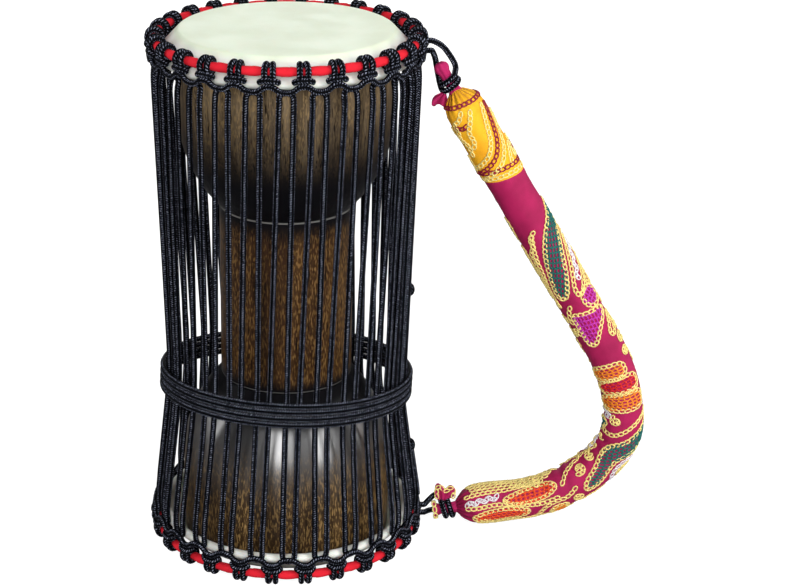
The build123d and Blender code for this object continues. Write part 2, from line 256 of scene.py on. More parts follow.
def dress(
    piece: Piece, material: Material, slot: Slot, nodes: Iterable[str] = (), body: Body | None = None
) -> Piece:
    """Give a piece its material, hide the nodes it stands for and fix it to the body it rides on.

    Args:
        piece: The finished piece.
        material: Its finish.
        slot: The slot that the finish belongs to; not used.
        nodes: Solids that the piece replaces.
        body: The body that it moves with, or none to leave it unattached.

    Returns:
        The same piece.
    """
    piece.data.materials.clear()
    piece.data.materials.append(material)
    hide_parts(*nodes)
    if body:
        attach(piece, body.value)
    LOG.info("%s: %d faces", piece.name, len(piece.data.polygons))
    return piece


@dataclass
class CordLine:
    """A line of points with frames that don't twist, for tubes along it."""

    points: list[Vector]
    closed: bool = False
    steep: float = 0.9
    tangents: list[Vector] = field(init=False)
    normals: list[Vector] = field(init=False)
    lengths: list[float] = field(init=False)

    def __post_init__(self) -> None:
        """Work out the directions and the running length."""
        count = len(self.points)
        self.tangents = []
        for i in range(count):
            before = self.points[i - 1] if i or self.closed else self.points[0]
            after = self.points[(i + 1) % count] if i < count - 1 or self.closed else self.points[-1]
            self.tangents.append((after - before).normalized())
        first = self.tangents[0]
        helper = Vector((0, 0, 1)) if abs(first.z) < self.steep else Vector((1, 0, 0))
        self.normals = [(helper - first * helper.dot(first)).normalized()]
        for i in range(1, count):
            carried = self.normals[-1] - self.tangents[i] * self.normals[-1].dot(self.tangents[i])
            self.normals.append(carried.normalized())
        self.lengths = [0.0]
        for i in range(1, count):
            self.lengths.append(self.lengths[-1] + (self.points[i] - self.points[i - 1]).length)

    @property
    def length(self) -> float:
        """The whole length along the points."""
        return self.lengths[-1]

    def at(self, distance: float) -> tuple[Vector, Vector]:
        """The point and the direction at a distance along the line.

        Args:
            distance: How far from the line's start, in the points' unit.

        Returns:
            The point and the unit direction.
        """
        index = int(np.searchsorted(self.lengths, distance, side="right")) - 1
        index = min(max(index, 0), len(self.points) - 2)
        span = max(self.lengths[index + 1] - self.lengths[index], 1e-9)
        share = min(max((distance - self.lengths[index]) / span, 0.0), 1.0)
        point = self.points[index].lerp(self.points[index + 1], share)
        way = self.tangents[index].lerp(self.tangents[index + 1], share).normalized()
        return point, way


@dataclass
class TubeSet:
    """Round cords gathered into one mesh, with texture places along and round each of them."""

    radius: float
    sides: int = 10
    shoulder: float = 0.45
    narrowing: float = 0.68
    tip_reach: float = 0.62
    places: list[Vector] = field(default_factory=list)
    faces: list[Face] = field(default_factory=list)
    corners: list[Spot] = field(default_factory=list)

    def ring(self, line: CordLine, index: int, swell: float = 1.0, push: float = 0.0) -> None:
        """Add one ring of points about a point of the line.

        Args:
            line: The line that the tube follows.
            index: The point's number.
            swell: A share of the tube's radius.
            push: How far the ring is moved on along the line.
        """
        tangent = line.tangents[index]
        normal = line.normals[index]
        across = tangent.cross(normal)
        center = line.points[index] + tangent * push
        for side in range(self.sides):
            turn = TURN * side / self.sides
            out = normal * math.cos(turn) + across * math.sin(turn)
            self.places.append(center + out * (self.radius * swell))

    def tip(self, ring: int, center: Vector, along: float, outward: bool) -> None:
        """Close a ring of points with a fan to its tip.

        Args:
            ring: The number of the ring's first point.
            center: The tip.
            along: The ring's texture place along the line.
            outward: Whether the tip is at the line's end and not at its start.
        """
        self.places.append(center)
        top = len(self.places) - 1
        for side in range(self.sides):
            after = (side + 1) % self.sides
            face = (ring + side, ring + after, top) if outward else (ring + after, ring + side, top)
            self.faces.append(face)
            self.corners += [(along, side / self.sides), (along, (side + 1) / self.sides), (along, 0.5)]

    def add(self, line: CordLine, start: int = 0, end: int | None = None) -> None:
        """Add a tube along a line, or along some of its points.

        Args:
            line: The line to follow, in metres.
            start: The first point's number.
            end: One past the last point's number.
        """
        numbers = range(start, len(line.points) if end is None else end)
        first = len(self.places)
        runs = [line.lengths[index] for index in numbers]
        rings = [(index, 1.0, 0.0) for index in numbers]
        if line.closed:
            runs.append(line.length + (line.points[0] - line.points[-1]).length)
        else:
            push = self.shoulder * self.radius
            rings.insert(0, (numbers[0], self.narrowing, -push))
            rings.append((numbers[-1], self.narrowing, push))
            runs = [runs[0] - push, *runs, runs[-1] + push]
        for ring in rings:
            self.ring(line, *ring)
        faces, corners = grid_faces(
            len(rings),
            self.sides,
            lambda row, side: (runs[row], side / self.sides),
            (line.closed, True),
            first=first,
        )
        self.faces += faces
        self.corners += corners
        if not line.closed:
            for row, index, away in ((0, numbers[0], -1), (len(rings) - 1, numbers[-1], 1)):
                center = line.points[index] + line.tangents[index] * (away * self.tip_reach * self.radius)
                self.tip(first + row * self.sides, center, runs[row], away > 0)

    def mesh(self, name: str) -> Mesh:
        """The gathered cords as one mesh."""
        return mesh_from(name, self.places, self.faces, self.corners)


class NodeTree:
    """Adds nodes to one tree and links them."""

    def __init__(self, tree: bpy.types.NodeTree) -> None:
        """Start with the tree empty."""
        self.tree = tree
        self.tree.nodes.clear()

    def put(self, socket: Socket, value: object) -> None:
        """Link or set an input, whichever the value is.

        Args:
            socket: The input.
            value: An output of another node, or a number, vector or colour.
        """
        if isinstance(value, Socket):
            self.tree.links.new(value, socket)
        elif socket.type == "RGBA":
            socket.default_value = (*value, 1.0)
        else:
            socket.default_value = value

    def node(self, kind: str, *values: object, **named: object) -> bpy.types.Node:
        """Add a node and give its inputs.

        Args:
            kind: The node's type.
            values: Its inputs in order.
            named: Its inputs by name, with _ for a space.

        Returns:
            The new node.
        """
        made = self.tree.nodes.new(kind)
        for socket, value in zip(made.inputs, values):
            self.put(socket, value)
        for name, value in named.items():
            self.put(made.inputs[name.replace("_", " ")], value)
        return made

    def math(self, operation: str, *values: object) -> Socket:
        """The result of a math node.

        Args:
            operation: What it works out.
            values: Its inputs in order.

        Returns:
            Its output.
        """
        made = self.node("ShaderNodeMath", *values)
        made.operation = operation
        return made.outputs[0]

    def times(self, first: object, second: object) -> Socket:
        """The product of two values."""
        return self.math("MULTIPLY", first, second)


class NodePad(NodeTree):
    """Adds shader nodes to one new material."""

    def __init__(self, name: str) -> None:
        """Start a material with a plain principled surface.

        Args:
            name: The material's name.
        """
        self.material = bpy.data.materials.new(name)
        self.material.use_nodes = True
        super().__init__(self.material.node_tree)
        self.surface = self.node("ShaderNodeBsdfPrincipled")
        self.node("ShaderNodeOutputMaterial", Surface=self.surface.outputs["BSDF"])

    def set(self, **values: object) -> None:
        """Link or set the surface's own inputs by name, with _ for a space."""
        for name, value in values.items():
            self.put(self.surface.inputs[name.replace("_", " ")], value)

    def coords(self, kind: str) -> Socket:
        """Texture coordinates of one kind."""
        return self.node("ShaderNodeTexCoord").outputs[kind]

    def scaled(self, vector: Socket, scale: Place, turn: Place = (0.0, 0.0, 0.0)) -> Socket:
        """A vector stretched and turned by a mapping."""
        return self.node("ShaderNodeMapping", Vector=vector, Scale=scale, Rotation=turn).outputs["Vector"]

    def split(self, vector: Socket) -> tuple[Socket, ...]:
        """The three parts of a vector."""
        return tuple(self.node("ShaderNodeSeparateXYZ", vector).outputs)

    def noise(
        self, vector: Socket, scale: float, detail: float = 4.0, rough: float = 0.55, bend: float = 0.0
    ) -> Socket:
        """Soft noise between 0 and 1."""
        sizes = {"Scale": scale, "Detail": detail, "Roughness": rough, "Distortion": bend}
        return self.node("ShaderNodeTexNoise", Vector=vector, **sizes).outputs["Fac"]

    def cells(self, vector: Socket, scale: float) -> Socket:
        """Distance to the nearest of many scattered points."""
        return self.node("ShaderNodeTexVoronoi", Vector=vector, Scale=scale).outputs["Distance"]

    def spread(
        self, value: object, low: float, high: float, to_low: float = 0.0, to_high: float = 1.0
    ) -> Socket:
        """A value moved smoothly from one range to another, kept inside it.

        Args:
            value: The value to move.
            low: Where its range starts.
            high: Where its range ends.
            to_low: The result at the start.
            to_high: The result at the end.

        Returns:
            The moved value.
        """
        ranges = {"From_Min": low, "From_Max": high, "To_Min": to_low, "To_Max": to_high}
        made = self.node("ShaderNodeMapRange", Value=value, **ranges)
        made.interpolation_type = "SMOOTHSTEP"
        return made.outputs["Result"]

    def wave(self, value: Socket, count: float = 1.0) -> Socket:
        """A sine that repeats a number of times in each unit of a value."""
        return self.math("SINE", self.times(value, TURN * count))

    def weave(self, along: Socket, around: Socket, yarn: float, threads: float) -> Socket:
        """The height of plain woven threads, from their pitch along and their number round."""
        return self.spread(self.times(self.wave(along, 1.0 / yarn), self.wave(around, threads)), -1.0, 1.0)

    def ramp(self, value: Socket, stops: Sequence[tuple[float, Colour]]) -> Socket:
        """A colour read from a list of stops.

        Args:
            value: Where to read, from 0 to 1.
            stops: Places and colours in order.

        Returns:
            The colour.
        """
        made = self.node("ShaderNodeValToRGB", value)
        while len(made.color_ramp.elements) < len(stops):
            made.color_ramp.elements.new(0.5)
        for element, (position, colour) in zip(made.color_ramp.elements, stops):
            element.position = position
            element.color = (*colour, 1.0)
        return made.outputs["Color"]

    def mix(self, share: object, first: object, second: object) -> Socket:
        """Two colours mixed by a share.

        Args:
            share: How much of the second there is.
            first: The first colour.
            second: The second colour.

        Returns:
            The mixed colour.
        """
        made = self.node("ShaderNodeMix")
        made.data_type = "RGBA"
        self.put(made.inputs["Factor"], share)
        self.put(made.inputs[6], first)
        self.put(made.inputs[7], second)
        return made.outputs[2]

    def bump(self, height: Socket, depth: float, strength: float = 1.0) -> None:
        """Raise the surface by a pattern, on top of any earlier one.

        Args:
            height: The pattern, from 0 to 1.
            depth: How far its highest part stands out, in metres.
            strength: How much of the bump shows.
        """
        made = self.node("ShaderNodeBump", Strength=strength, Distance=depth, Height=height)
        earlier = self.surface.inputs["Normal"]
        if earlier.is_linked:
            self.put(made.inputs["Normal"], earlier.links[0].from_socket)
        self.put(earlier, made.outputs["Normal"])


@dataclass(frozen=True)
class CordFinish:
    """Braided black cord, with plaits along the texture's first direction, painted shade in the hollows
    between plaits and painted glints on their crowns.
    """

    name: str = "braided_black_cord"
    # Painted shade: the near-black colour of the hollows between plaits.
    groove_shade: Colour = (0.0008, 0.0009, 0.0014)
    plait: Colour = (0.013, 0.016, 0.027)
    # Painted glint: the pale blue-grey laid on the plait crowns.
    fleck_and_glint: Colour = (0.31, 0.335, 0.44)
    plait_length: float = 1.8 * MM
    columns: int = 4

    def material(self) -> Material:
        """Build the cord's material.

        Returns:
            The new material.
        """
        pad = NodePad(self.name)
        along, around, _ = pad.split(pad.coords("UV"))
        column = pad.times(around, self.columns / 2)
        zigzag = pad.math("PINGPONG", column, 0.5)
        steps = pad.math("DIVIDE", along, self.plait_length)
        phase = pad.math("ADD", steps, pad.times(zigzag, 2.0))
        wave = pad.wave(phase)
        crown = pad.spread(wave, -0.4, 0.8)
        edge = pad.math("PINGPONG", pad.times(around, self.columns), 0.5)
        height = pad.times(crown, pad.spread(edge, 0.04, 0.36))
        grain = pad.noise(pad.coords("Object"), 900.0, 2.0)
        # The hollows between plaits are painted near black as shade; the plait tops keep the cord's own
        # colour.
        shade = pad.mix(height, self.groove_shade, self.plait)
        # Painted glints: the pale colour is mixed in on the plait crowns where the grain noise peaks.
        shine = pad.times(pad.spread(height, 0.62, 1.0), pad.spread(grain, 0.40, 0.64))
        pad.set(Base_Color=pad.mix(shine, shade, self.fleck_and_glint), Roughness=0.62, Specular_IOR_Level=0.03)
        pad.bump(height, 0.6 * MM)
        return pad.material


@dataclass(frozen=True)
class WoodFinish:
    """Lacquered wood, stained dark towards one end, with bright flecks along its grain and painted highlight
    lines at any heights given.
    """

    name: str
    broad_grain: Place = (34.0, 34.0, 3.2)
    fine_grain: Place = (230.0, 230.0, 17.0)
    dashes: Place = (1050.0, 1050.0, 230.0)
    pores: Place = (640.0, 640.0, 60.0)
    deep: Colour = (0.005, 0.0028, 0.0015)
    warm: Colour = (0.032, 0.0165, 0.0065)
    amber: Colour = (0.105, 0.058, 0.023)
    stain: Colour = (0.0035, 0.0035, 0.005)
    stain_span: Spot = (0.30, 0.34)
    far_stain_span: Spot = (-1.0, -0.9)
    fleck_and_glint: Colour = (0.34, 0.205, 0.075)
    fleck_and_glint_share: float = 0.85
    # Heights at which thin pale lines are painted as highlights along crease edges.
    highlight_lines: tuple[float, ...] = ()
    coat: float = 0.2
    coat_bend: float = 1.4
    coat_roughness: float = 0.12
    highlight_tone: Colour = (0.2, 0.195, 0.185)
    coat_span: Spot | None = None
    coat_fade: Spot = (0.042, 0.092)
    faded_coat: float = 0.1

    def material(self) -> Material:
        """Build the wood's material.

        Returns:
            The new material.
        """
        pad = NodePad(self.name)
        place = pad.coords("Object")
        height = pad.split(place)[2]
        broad = pad.noise(pad.scaled(place, self.broad_grain), 1.0, 5.0, 0.6, 0.6)
        fine = pad.noise(pad.scaled(place, self.fine_grain), 1.0, 4.0, 0.65, 0.3)
        grain = pad.math("ADD", pad.times(broad, 0.55), pad.times(fine, 0.45))
        tone = pad.ramp(grain, ((0.33, self.deep), (0.5, self.warm), (0.70, self.amber)))
        dashes = pad.noise(pad.scaled(place, self.dashes), 1.0, 2.0, 0.5)
        fleck_and_glint = pad.times(pad.spread(dashes, 0.50, 0.62), pad.spread(broad, 0.36, 0.62, 0.25, 1.0))
        fleck_and_glint = pad.times(fleck_and_glint, self.fleck_and_glint_share)
        tone = pad.mix(fleck_and_glint, tone, self.fleck_and_glint)
        pores = pad.spread(pad.noise(pad.scaled(place, self.pores), 1.0, 2.0), 0.30, 0.42)
        tone = pad.mix(pores, self.deep, tone)
        clear = pad.times(pad.spread(height, *self.stain_span), pad.spread(height, *self.far_stain_span))
        tone = pad.mix(clear, self.stain, tone)
        # Painted highlight: a thin pale band at each given height, standing in for light caught by a crease
        # edge.
        for line in self.highlight_lines:
            off = pad.math("ABSOLUTE", pad.math("SUBTRACT", height, line))
            tone = pad.mix(pad.spread(off, 0.25 * MM, 0.7 * MM, 1.0, 0.0), tone, self.highlight_tone)
        pad.set(Base_Color=tone, Roughness=pad.spread(fine, 0.25, 0.8, 0.32, 0.5))
        pad.set(Coat_Roughness=self.coat_roughness, Coat_IOR=self.coat_bend, Specular_IOR_Level=0.08)
        gloss = clear
        if self.coat_span:
            fading = pad.spread(height, *self.coat_fade, self.faded_coat, 1.0)
            gloss = pad.times(pad.spread(height, *self.coat_span), fading)
        pad.set(Coat_Weight=pad.times(gloss, self.coat))
        pad.bump(grain, 0.25 * MM, 0.5)
        pad.bump(pad.noise(place, 70.0, 2.0), 0.5 * MM, 0.25)
        return pad.material


@dataclass(frozen=True)
class SkinFinish:
    """Goatskin, cream on the flat and whiter where it slopes to the hoop."""

    name: str = "cream_head_skin"
    cream: Colour = (0.735, 0.815, 0.640)
    pale: Colour = (0.80, 0.81, 0.765)
    cloudy: Colour = (0.66, 0.68, 0.50)
    pore: Colour = (0.45, 0.42, 0.30)
    flat_radius: float = 79.0 * MM
    slope_radius: float = 84.0 * MM

    def material(self) -> Material:
        """Build the skin's material.

        Returns:
            The new material.
        """
        pad = NodePad(self.name)
        place = pad.coords("Object")
        x, y, _ = pad.split(place)
        radius = pad.math("SQRT", pad.math("ADD", pad.math("POWER", x, 2.0), pad.math("POWER", y, 2.0)))
        tone = pad.mix(pad.spread(radius, self.flat_radius, self.slope_radius), self.cream, self.pale)
        clouds = pad.noise(place, 38.0, 5.0, 0.6)
        tone = pad.mix(pad.spread(clouds, 0.35, 0.75, 0.0, 0.22), tone, self.cloudy)
        pores = pad.cells(place, 900.0)
        tone = pad.mix(pad.spread(pores, 0.0, 0.25, 0.10, 0.0), tone, self.pore)
        pad.set(Base_Color=tone, Roughness=pad.spread(clouds, 0.3, 0.7, 0.46, 0.60))
        pad.set(Subsurface_Weight=0.08, Subsurface_Scale=0.002)
        pad.bump(pores, 0.12 * MM, 0.5)
        pad.bump(clouds, 0.4 * MM, 0.25)
        return pad.material


@dataclass(frozen=True)
class ClothFinish:
    """Plain woven cloth whose threads follow the texture in metres."""

    name: str
    colour: Colour
    shade: Colour
    lap: float = 0.0185
    yarn: float = 0.55 * MM

    def material(self) -> Material:
        """Build the cloth's material.

        Returns:
            The new material.
        """
        pad = NodePad(self.name)
        around, along, _ = pad.split(pad.coords("UV"))
        weave = pad.weave(along, around, self.yarn, self.lap / self.yarn)
        worn = pad.noise(pad.coords("Object"), 120.0, 4.0)
        tone = pad.mix(pad.spread(weave, 0.0, 0.5, 0.35, 0.0), self.colour, self.shade)
        tone = pad.mix(pad.spread(worn, 0.4, 0.75, 0.0, 0.3), tone, self.shade)
        pad.set(Base_Color=tone, Roughness=0.8, Specular_IOR_Level=0.2)
        pad.bump(weave, 0.08 * MM, 0.8)
        pad.bump(worn, 0.5 * MM, 0.4)
        return pad.material


@dataclass(frozen=True)
class StrapFinish:
    """Dyed cotton in two colours that meet at a length along the strap, gathered at both necks, with painted
    shade in the weave's hollows and the pleats' valleys.
    """

    name: str = "dyed_strap_cotton"
    gold: Colour = (0.92, 0.46, 0.012)
    deep_gold: Colour = (0.80, 0.31, 0.006)
    magenta: Colour = (0.40, 0.008, 0.086)
    deep_magenta: Colour = (0.20, 0.002, 0.040)
    meeting: float = 82.0 * MM
    lap: float = 91.7 * MM
    yarn: float = 0.5 * MM
    border_sway: float = 2.5 * MM
    pleats: int = 15
    pleats_full: float = 8.0 * MM
    pleats_gone: float = 30.0 * MM

    def material(self, length: float) -> Material:
        """Build the strap's material.

        Args:
            length: The strap's length in metres.

        Returns:
            The material, which reads the distance along and the share round the strap.
        """
        pad = NodePad(self.name)
        along, around, _ = pad.split(pad.coords("UV"))
        place = pad.coords("Object")
        cloud = pad.noise(place, 46.0, 4.0)
        border = pad.math("ADD", along, pad.times(pad.wave(around), self.border_sway))
        gold = pad.mix(pad.spread(cloud, 0.4, 0.72, 0.0, 0.6), self.gold, self.deep_gold)
        magenta = pad.mix(pad.spread(cloud, 0.35, 0.75, 0.0, 0.55), self.magenta, self.deep_magenta)
        tone = pad.mix(pad.spread(border, self.meeting - 0.3 * MM, self.meeting + 0.3 * MM), gold, magenta)
        weave = pad.weave(along, around, self.yarn, round(self.lap / self.yarn))
        # Painted shade: the hollows between yarns are darkened towards deep magenta.
        tone = pad.mix(pad.spread(weave, 0.0, 0.6, 0.16, 0.0), tone, self.deep_magenta)
        pleat = pad.wave(around, self.pleats)
        near_top = pad.spread(along, self.pleats_full, self.pleats_gone, 1.0, 0.0)
        near_end = pad.spread(along, length - self.pleats_gone, length - self.pleats_full)
        gather = pad.times(pleat, pad.math("MAXIMUM", near_top, near_end))
        # Painted shade: the pleat valleys near both necks are darkened towards deep magenta.
        tone = pad.mix(pad.spread(gather, -1.0, -0.2, 0.4, 0.0), tone, self.deep_magenta)
        pad.set(Base_Color=tone, Roughness=0.7, Specular_IOR_Level=0.25)
        pad.bump(weave, 0.06 * MM, 0.7)
        pad.bump(gather, 0.9 * MM, 0.8)
        pad.bump(pad.noise(place, 120.0, 3.0), 0.7 * MM, 0.35)
        return pad.material


@dataclass(frozen=True)
class ThreadFinish:
    """Spun embroidery thread of one colour."""

    thread: Thread
    shade: float = 0.55

    def material(self) -> Material:
        """Build the thread's material.

        Returns:
            The new material.
        """
        pad = NodePad(f"{self.thread.label}_thread")
        place = pad.coords("Object")
        twist = pad.noise(pad.scaled(place, (1.0, 1.0, 1.0), (0.6, 0.5, 0.4)), 1500.0, 2.0)
        deep = tuple(self.shade * part for part in self.thread.colour)
        pad.set(Base_Color=pad.mix(pad.spread(twist, 0.35, 0.6), deep, self.thread.colour))
        pad.set(Roughness=0.5, Specular_IOR_Level=0.35)
        pad.bump(twist, 0.15 * MM, 0.6)
        return pad.material


@dataclass(frozen=True)
class SteelFinish:
    """Dull drawn steel of the rings inside the cloth."""

    name: str = "drawn_ring_steel"
    bright: Colour = (0.42, 0.42, 0.43)
    dull: Colour = (0.20, 0.19, 0.18)

    def material(self) -> Material:
        """Build the steel's material.

        Returns:
            The new material.
        """
        pad = NodePad(self.name)
        scratches = pad.noise(pad.scaled(pad.coords("Object"), (60.0, 60.0, 400.0)), 1.0, 4.0)
        pad.set(Base_Color=pad.ramp(scratches, ((0.3, self.dull), (0.7, self.bright))))
        pad.set(Roughness=pad.spread(scratches, 0.3, 0.7, 0.3, 0.5))
        pad.set(Metallic=1.0)
        return pad.material


class NodeShape(NodeTree):
    """A Geometry Nodes tree with named inputs, run once on an object."""

    def __init__(self, name: str, inputs: Sequence[tuple[str, str]]) -> None:
        """Start a tree.

        Args:
            name: The tree's name.
            inputs: Names and socket types of the sizes that the tree takes.
        """
        super().__init__(bpy.data.node_groups.new(name, "GeometryNodeTree"))
        face = self.tree.interface
        for label, kind in (("Geometry", "NodeSocketGeometry"), *inputs):
            face.new_socket(name=label, in_out="INPUT", socket_type=kind)
        face.new_socket(name="Geometry", in_out="OUTPUT", socket_type="NodeSocketGeometry")
        self.given = self.node("NodeGroupInput").outputs

    def finish(self, geometry: Socket) -> None:
        """End the tree with realized instances and their material.

        Args:
            geometry: The instances.
        """
        real = self.node("GeometryNodeRealizeInstances", geometry)
        coat = self.node("GeometryNodeSetMaterial", Geometry=real.outputs[0], Material=self.given["Finish"])
        self.node("NodeGroupOutput", coat.outputs[0])

    def run(self, piece: Piece, name: str, sizes: dict[str, object]) -> Piece:
        """Run the tree on an object and keep the result as a plain mesh.

        Args:
            piece: The object that gives the tree its geometry; it is removed.
            name: The new object's name.
            sizes: Values of the tree's inputs by name.

        Returns:
            A new object with the plain mesh.
        """
        modifier = piece.modifiers.new("shape", "NODES")
        modifier.node_group = self.tree
        for item in self.tree.interface.items_tree:
            if item.in_out == "INPUT" and item.name in sizes:
                modifier[item.identifier] = sizes[item.name]
        mesh = baked(piece, name)
        bpy.data.objects.remove(piece)
        return add_object(name, mesh)


def ring_tree() -> NodeShape:
    """A tree that repeats one piece round the drum's axis.

    Returns:
        The tree, with inputs for the count and the finish.
    """
    shape = NodeShape("hitches_round_ring", (("Count", "NodeSocketInt"), ("Finish", "NodeSocketMaterial")))
    count = shape.given["Count"]
    points = shape.node("GeometryNodePoints", Count=count).outputs[0]
    placed = shape.node("GeometryNodeInstanceOnPoints", Points=points, Instance=shape.given["Geometry"])
    step = shape.math("DIVIDE", TURN, count)
    angle = shape.times(step, shape.node("GeometryNodeInputIndex").outputs[0])
    turn = shape.node("FunctionNodeAxisAngleToRotation", Axis=(0.0, 0.0, 1.0), Angle=angle)
    spun = shape.node("GeometryNodeRotateInstances", Instances=placed.outputs[0], Rotation=turn.outputs[0])
    spun.inputs["Local Space"].default_value = False
    shape.finish(spun.outputs[0])
    return shape


def chain_tree() -> NodeShape:
    """A tree that lays chain-stitch links on points, by their run and their outward direction.

    Returns:
        The tree, with inputs for the link's sizes and the finish.
    """
    lengths = ("Link length", "Link width", "Thread radius", "Tilt")
    inputs = [(name, "NodeSocketFloat") for name in lengths]
    shape = NodeShape("chain_stitches", (*inputs, ("Finish", "NodeSocketMaterial")))
    length, width, radius, tilt = (shape.given[name] for name in lengths)
    loop = shape.node("GeometryNodeCurvePrimitiveCircle", Resolution=9, Radius=0.5)
    sizes = shape.node("ShaderNodeCombineXYZ", X=length, Y=width, Z=1.0)
    oval = shape.node("GeometryNodeTransform", Geometry=loop.outputs[0], Scale=sizes.outputs[0])
    yarn = shape.node("GeometryNodeCurvePrimitiveCircle", Resolution=5, Radius=radius)
    link = shape.node("GeometryNodeCurveToMesh", Curve=oval.outputs[0], Profile_Curve=yarn.outputs[0])
    turn = shape.node("ShaderNodeCombineXYZ", Y=tilt)
    tilted = shape.node("GeometryNodeTransform", Geometry=link.outputs[0], Rotation=turn.outputs[0])
    vectors = []
    for name in ("stitch_out", "stitch_run"):
        read = shape.node("GeometryNodeInputNamedAttribute", Name=name)
        read.data_type = "FLOAT_VECTOR"
        vectors.append(read.outputs[0])
    upright = shape.node("FunctionNodeAlignRotationToVector", Vector=vectors[0])
    upright.axis = "Z"
    headed = shape.node("FunctionNodeAlignRotationToVector", Rotation=upright.outputs[0], Vector=vectors[1])
    headed.axis = "X"
    headed.pivot_axis = "Z"
    placed = shape.node(
        "GeometryNodeInstanceOnPoints",
        Points=shape.given["Geometry"],
        Instance=tilted.outputs[0],
        Rotation=headed.outputs[0],
    )
    shape.finish(placed.outputs[0])
    return shape


@dataclass(frozen=True)
class DrumEnd:
    """One end of the drum, with heights measured outwards from its crown ring."""

    name: str
    ring_radius: float
    ring_z: float
    outward: int
    first_hitch: float
    pair_spread: float

    def place(self, rise: float, angle: float, height: float) -> Vector:
        """A point in metres at a rise over the ring, an angle and an outward height."""
        return polar(self.ring_radius + rise, angle, self.ring_z + self.outward * height) * MM

    @property
    def degrees_per_mm(self) -> float:
        """How many degrees one millimetre along the ring takes."""
        return 180.0 / (math.pi * self.ring_radius)

    def node(self, name: str) -> str:
        """The name of this end's piece or solid of a kind."""
        return f"{self.name}_{name}"


UPPER = DrumEnd("upper", 95.5, 394.9, 1, 0.0, 3.0)
LOWER = DrumEnd("lower", 99.5, 6.9, -1, 0.9, 2.6)
ENDS = (UPPER, LOWER)
HITCHES = 26
PITCH = 360.0 / HITCHES
CORD_RADIUS = 2.2 * MM
CORD_SIDES = 12
SHORTEST_CORD = 30.0 * MM


def free_cord(line: CordLine) -> None:
    """Read a limp cord's first point, length and points, and pass them nowhere.

    Args:
        line: Its middle line, in metres.
    """
    tuple(line.points[0])
    line.length
    [tuple(point) for point in line.points]


def cord_piece(
    name: str,
    lines: Sequence[CordLine],
    material: Material,
    body: Body,
    nodes: Iterable[str] = (),
    radius: float = CORD_RADIUS,
) -> Piece:
    """Make one piece of round cords that rides on a body.

    Args:
        name: The piece's name.
        lines: The cords' middle lines, in metres.
        material: Its finish.
        body: The body that it moves with.
        nodes: Solids that it replaces.
        radius: The cords' radius in metres.

    Returns:
        The new piece.
    """
    tubes = TubeSet(radius, CORD_SIDES)
    for line in lines:
        tubes.add(line)
    return dress(add_object(name, tubes.mesh(name)), material, Slot.CORD, nodes, body)


@dataclass
class WoodenBody:
    """The two bowls and the neck, kept as they are and given their finishes."""

    crease_low: float = 132.9 * MM
    crease_high: float = 268.9 * MM
    # The neck is dark at each crease and reaches its clear tone over these distances from the low and the
    # high crease.
    low_dark_band: Spot = (1.0 * MM, 12.0 * MM)
    high_dark_band: Spot = (2.0 * MM, 22.0 * MM)
    # How far inside each crease the neck's painted highlight line sits.
    edge_line: float = 0.6 * MM

    def build(self) -> None:
        """Finish the wood and the steel rings."""
        upper = WoodFinish(
            "upper_bowl_lacquer",
            deep=(0.014, 0.009, 0.005),
            warm=(0.18, 0.125, 0.07),
            amber=(0.54, 0.40, 0.24),
            stain_span=(0.298, 0.396),
            fleck_and_glint=(0.48, 0.32, 0.14),
        )
        lower = WoodFinish(
            "lower_bowl_lacquer",
            stain_span=(0.104, 0.056),
            fleck_and_glint=(0.40, 0.245, 0.09),
            coat=1.0,
            coat_bend=2.4,
            coat_roughness=0.29,
            coat_span=(0.127, 0.109),
        )
        neck = WoodFinish(
            "neck_lacquer",
            warm=(0.040, 0.018, 0.007),
            amber=(0.11, 0.055, 0.018),
            stain_span=tuple(self.crease_low + gap for gap in self.low_dark_band),
            far_stain_span=tuple(self.crease_high - gap for gap in self.high_dark_band),
            fleck_and_glint=(0.27, 0.145, 0.045),
            highlight_lines=(self.crease_low + self.edge_line, self.crease_high - self.edge_line),
        )
        for name, finish in {"upper_bowl": upper, "lower_bowl": lower, "neck_tube": neck}.items():
            self.coat(name, finish.material())
        steel = SteelFinish().material()
        for end in ENDS:
            self.coat(end.node("crown_ring"), steel)
            self.coat(end.node("flesh_hoop"), steel)

    def coat(self, node: str, material: Material) -> None:
        """Put a material on a kept solid.

        Args:
            node: The solid's name.
            material: Its finish.
        """
        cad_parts[node].data.materials.clear()
        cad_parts[node].data.materials.append(material)
        LOG.info("%s: finished", node)


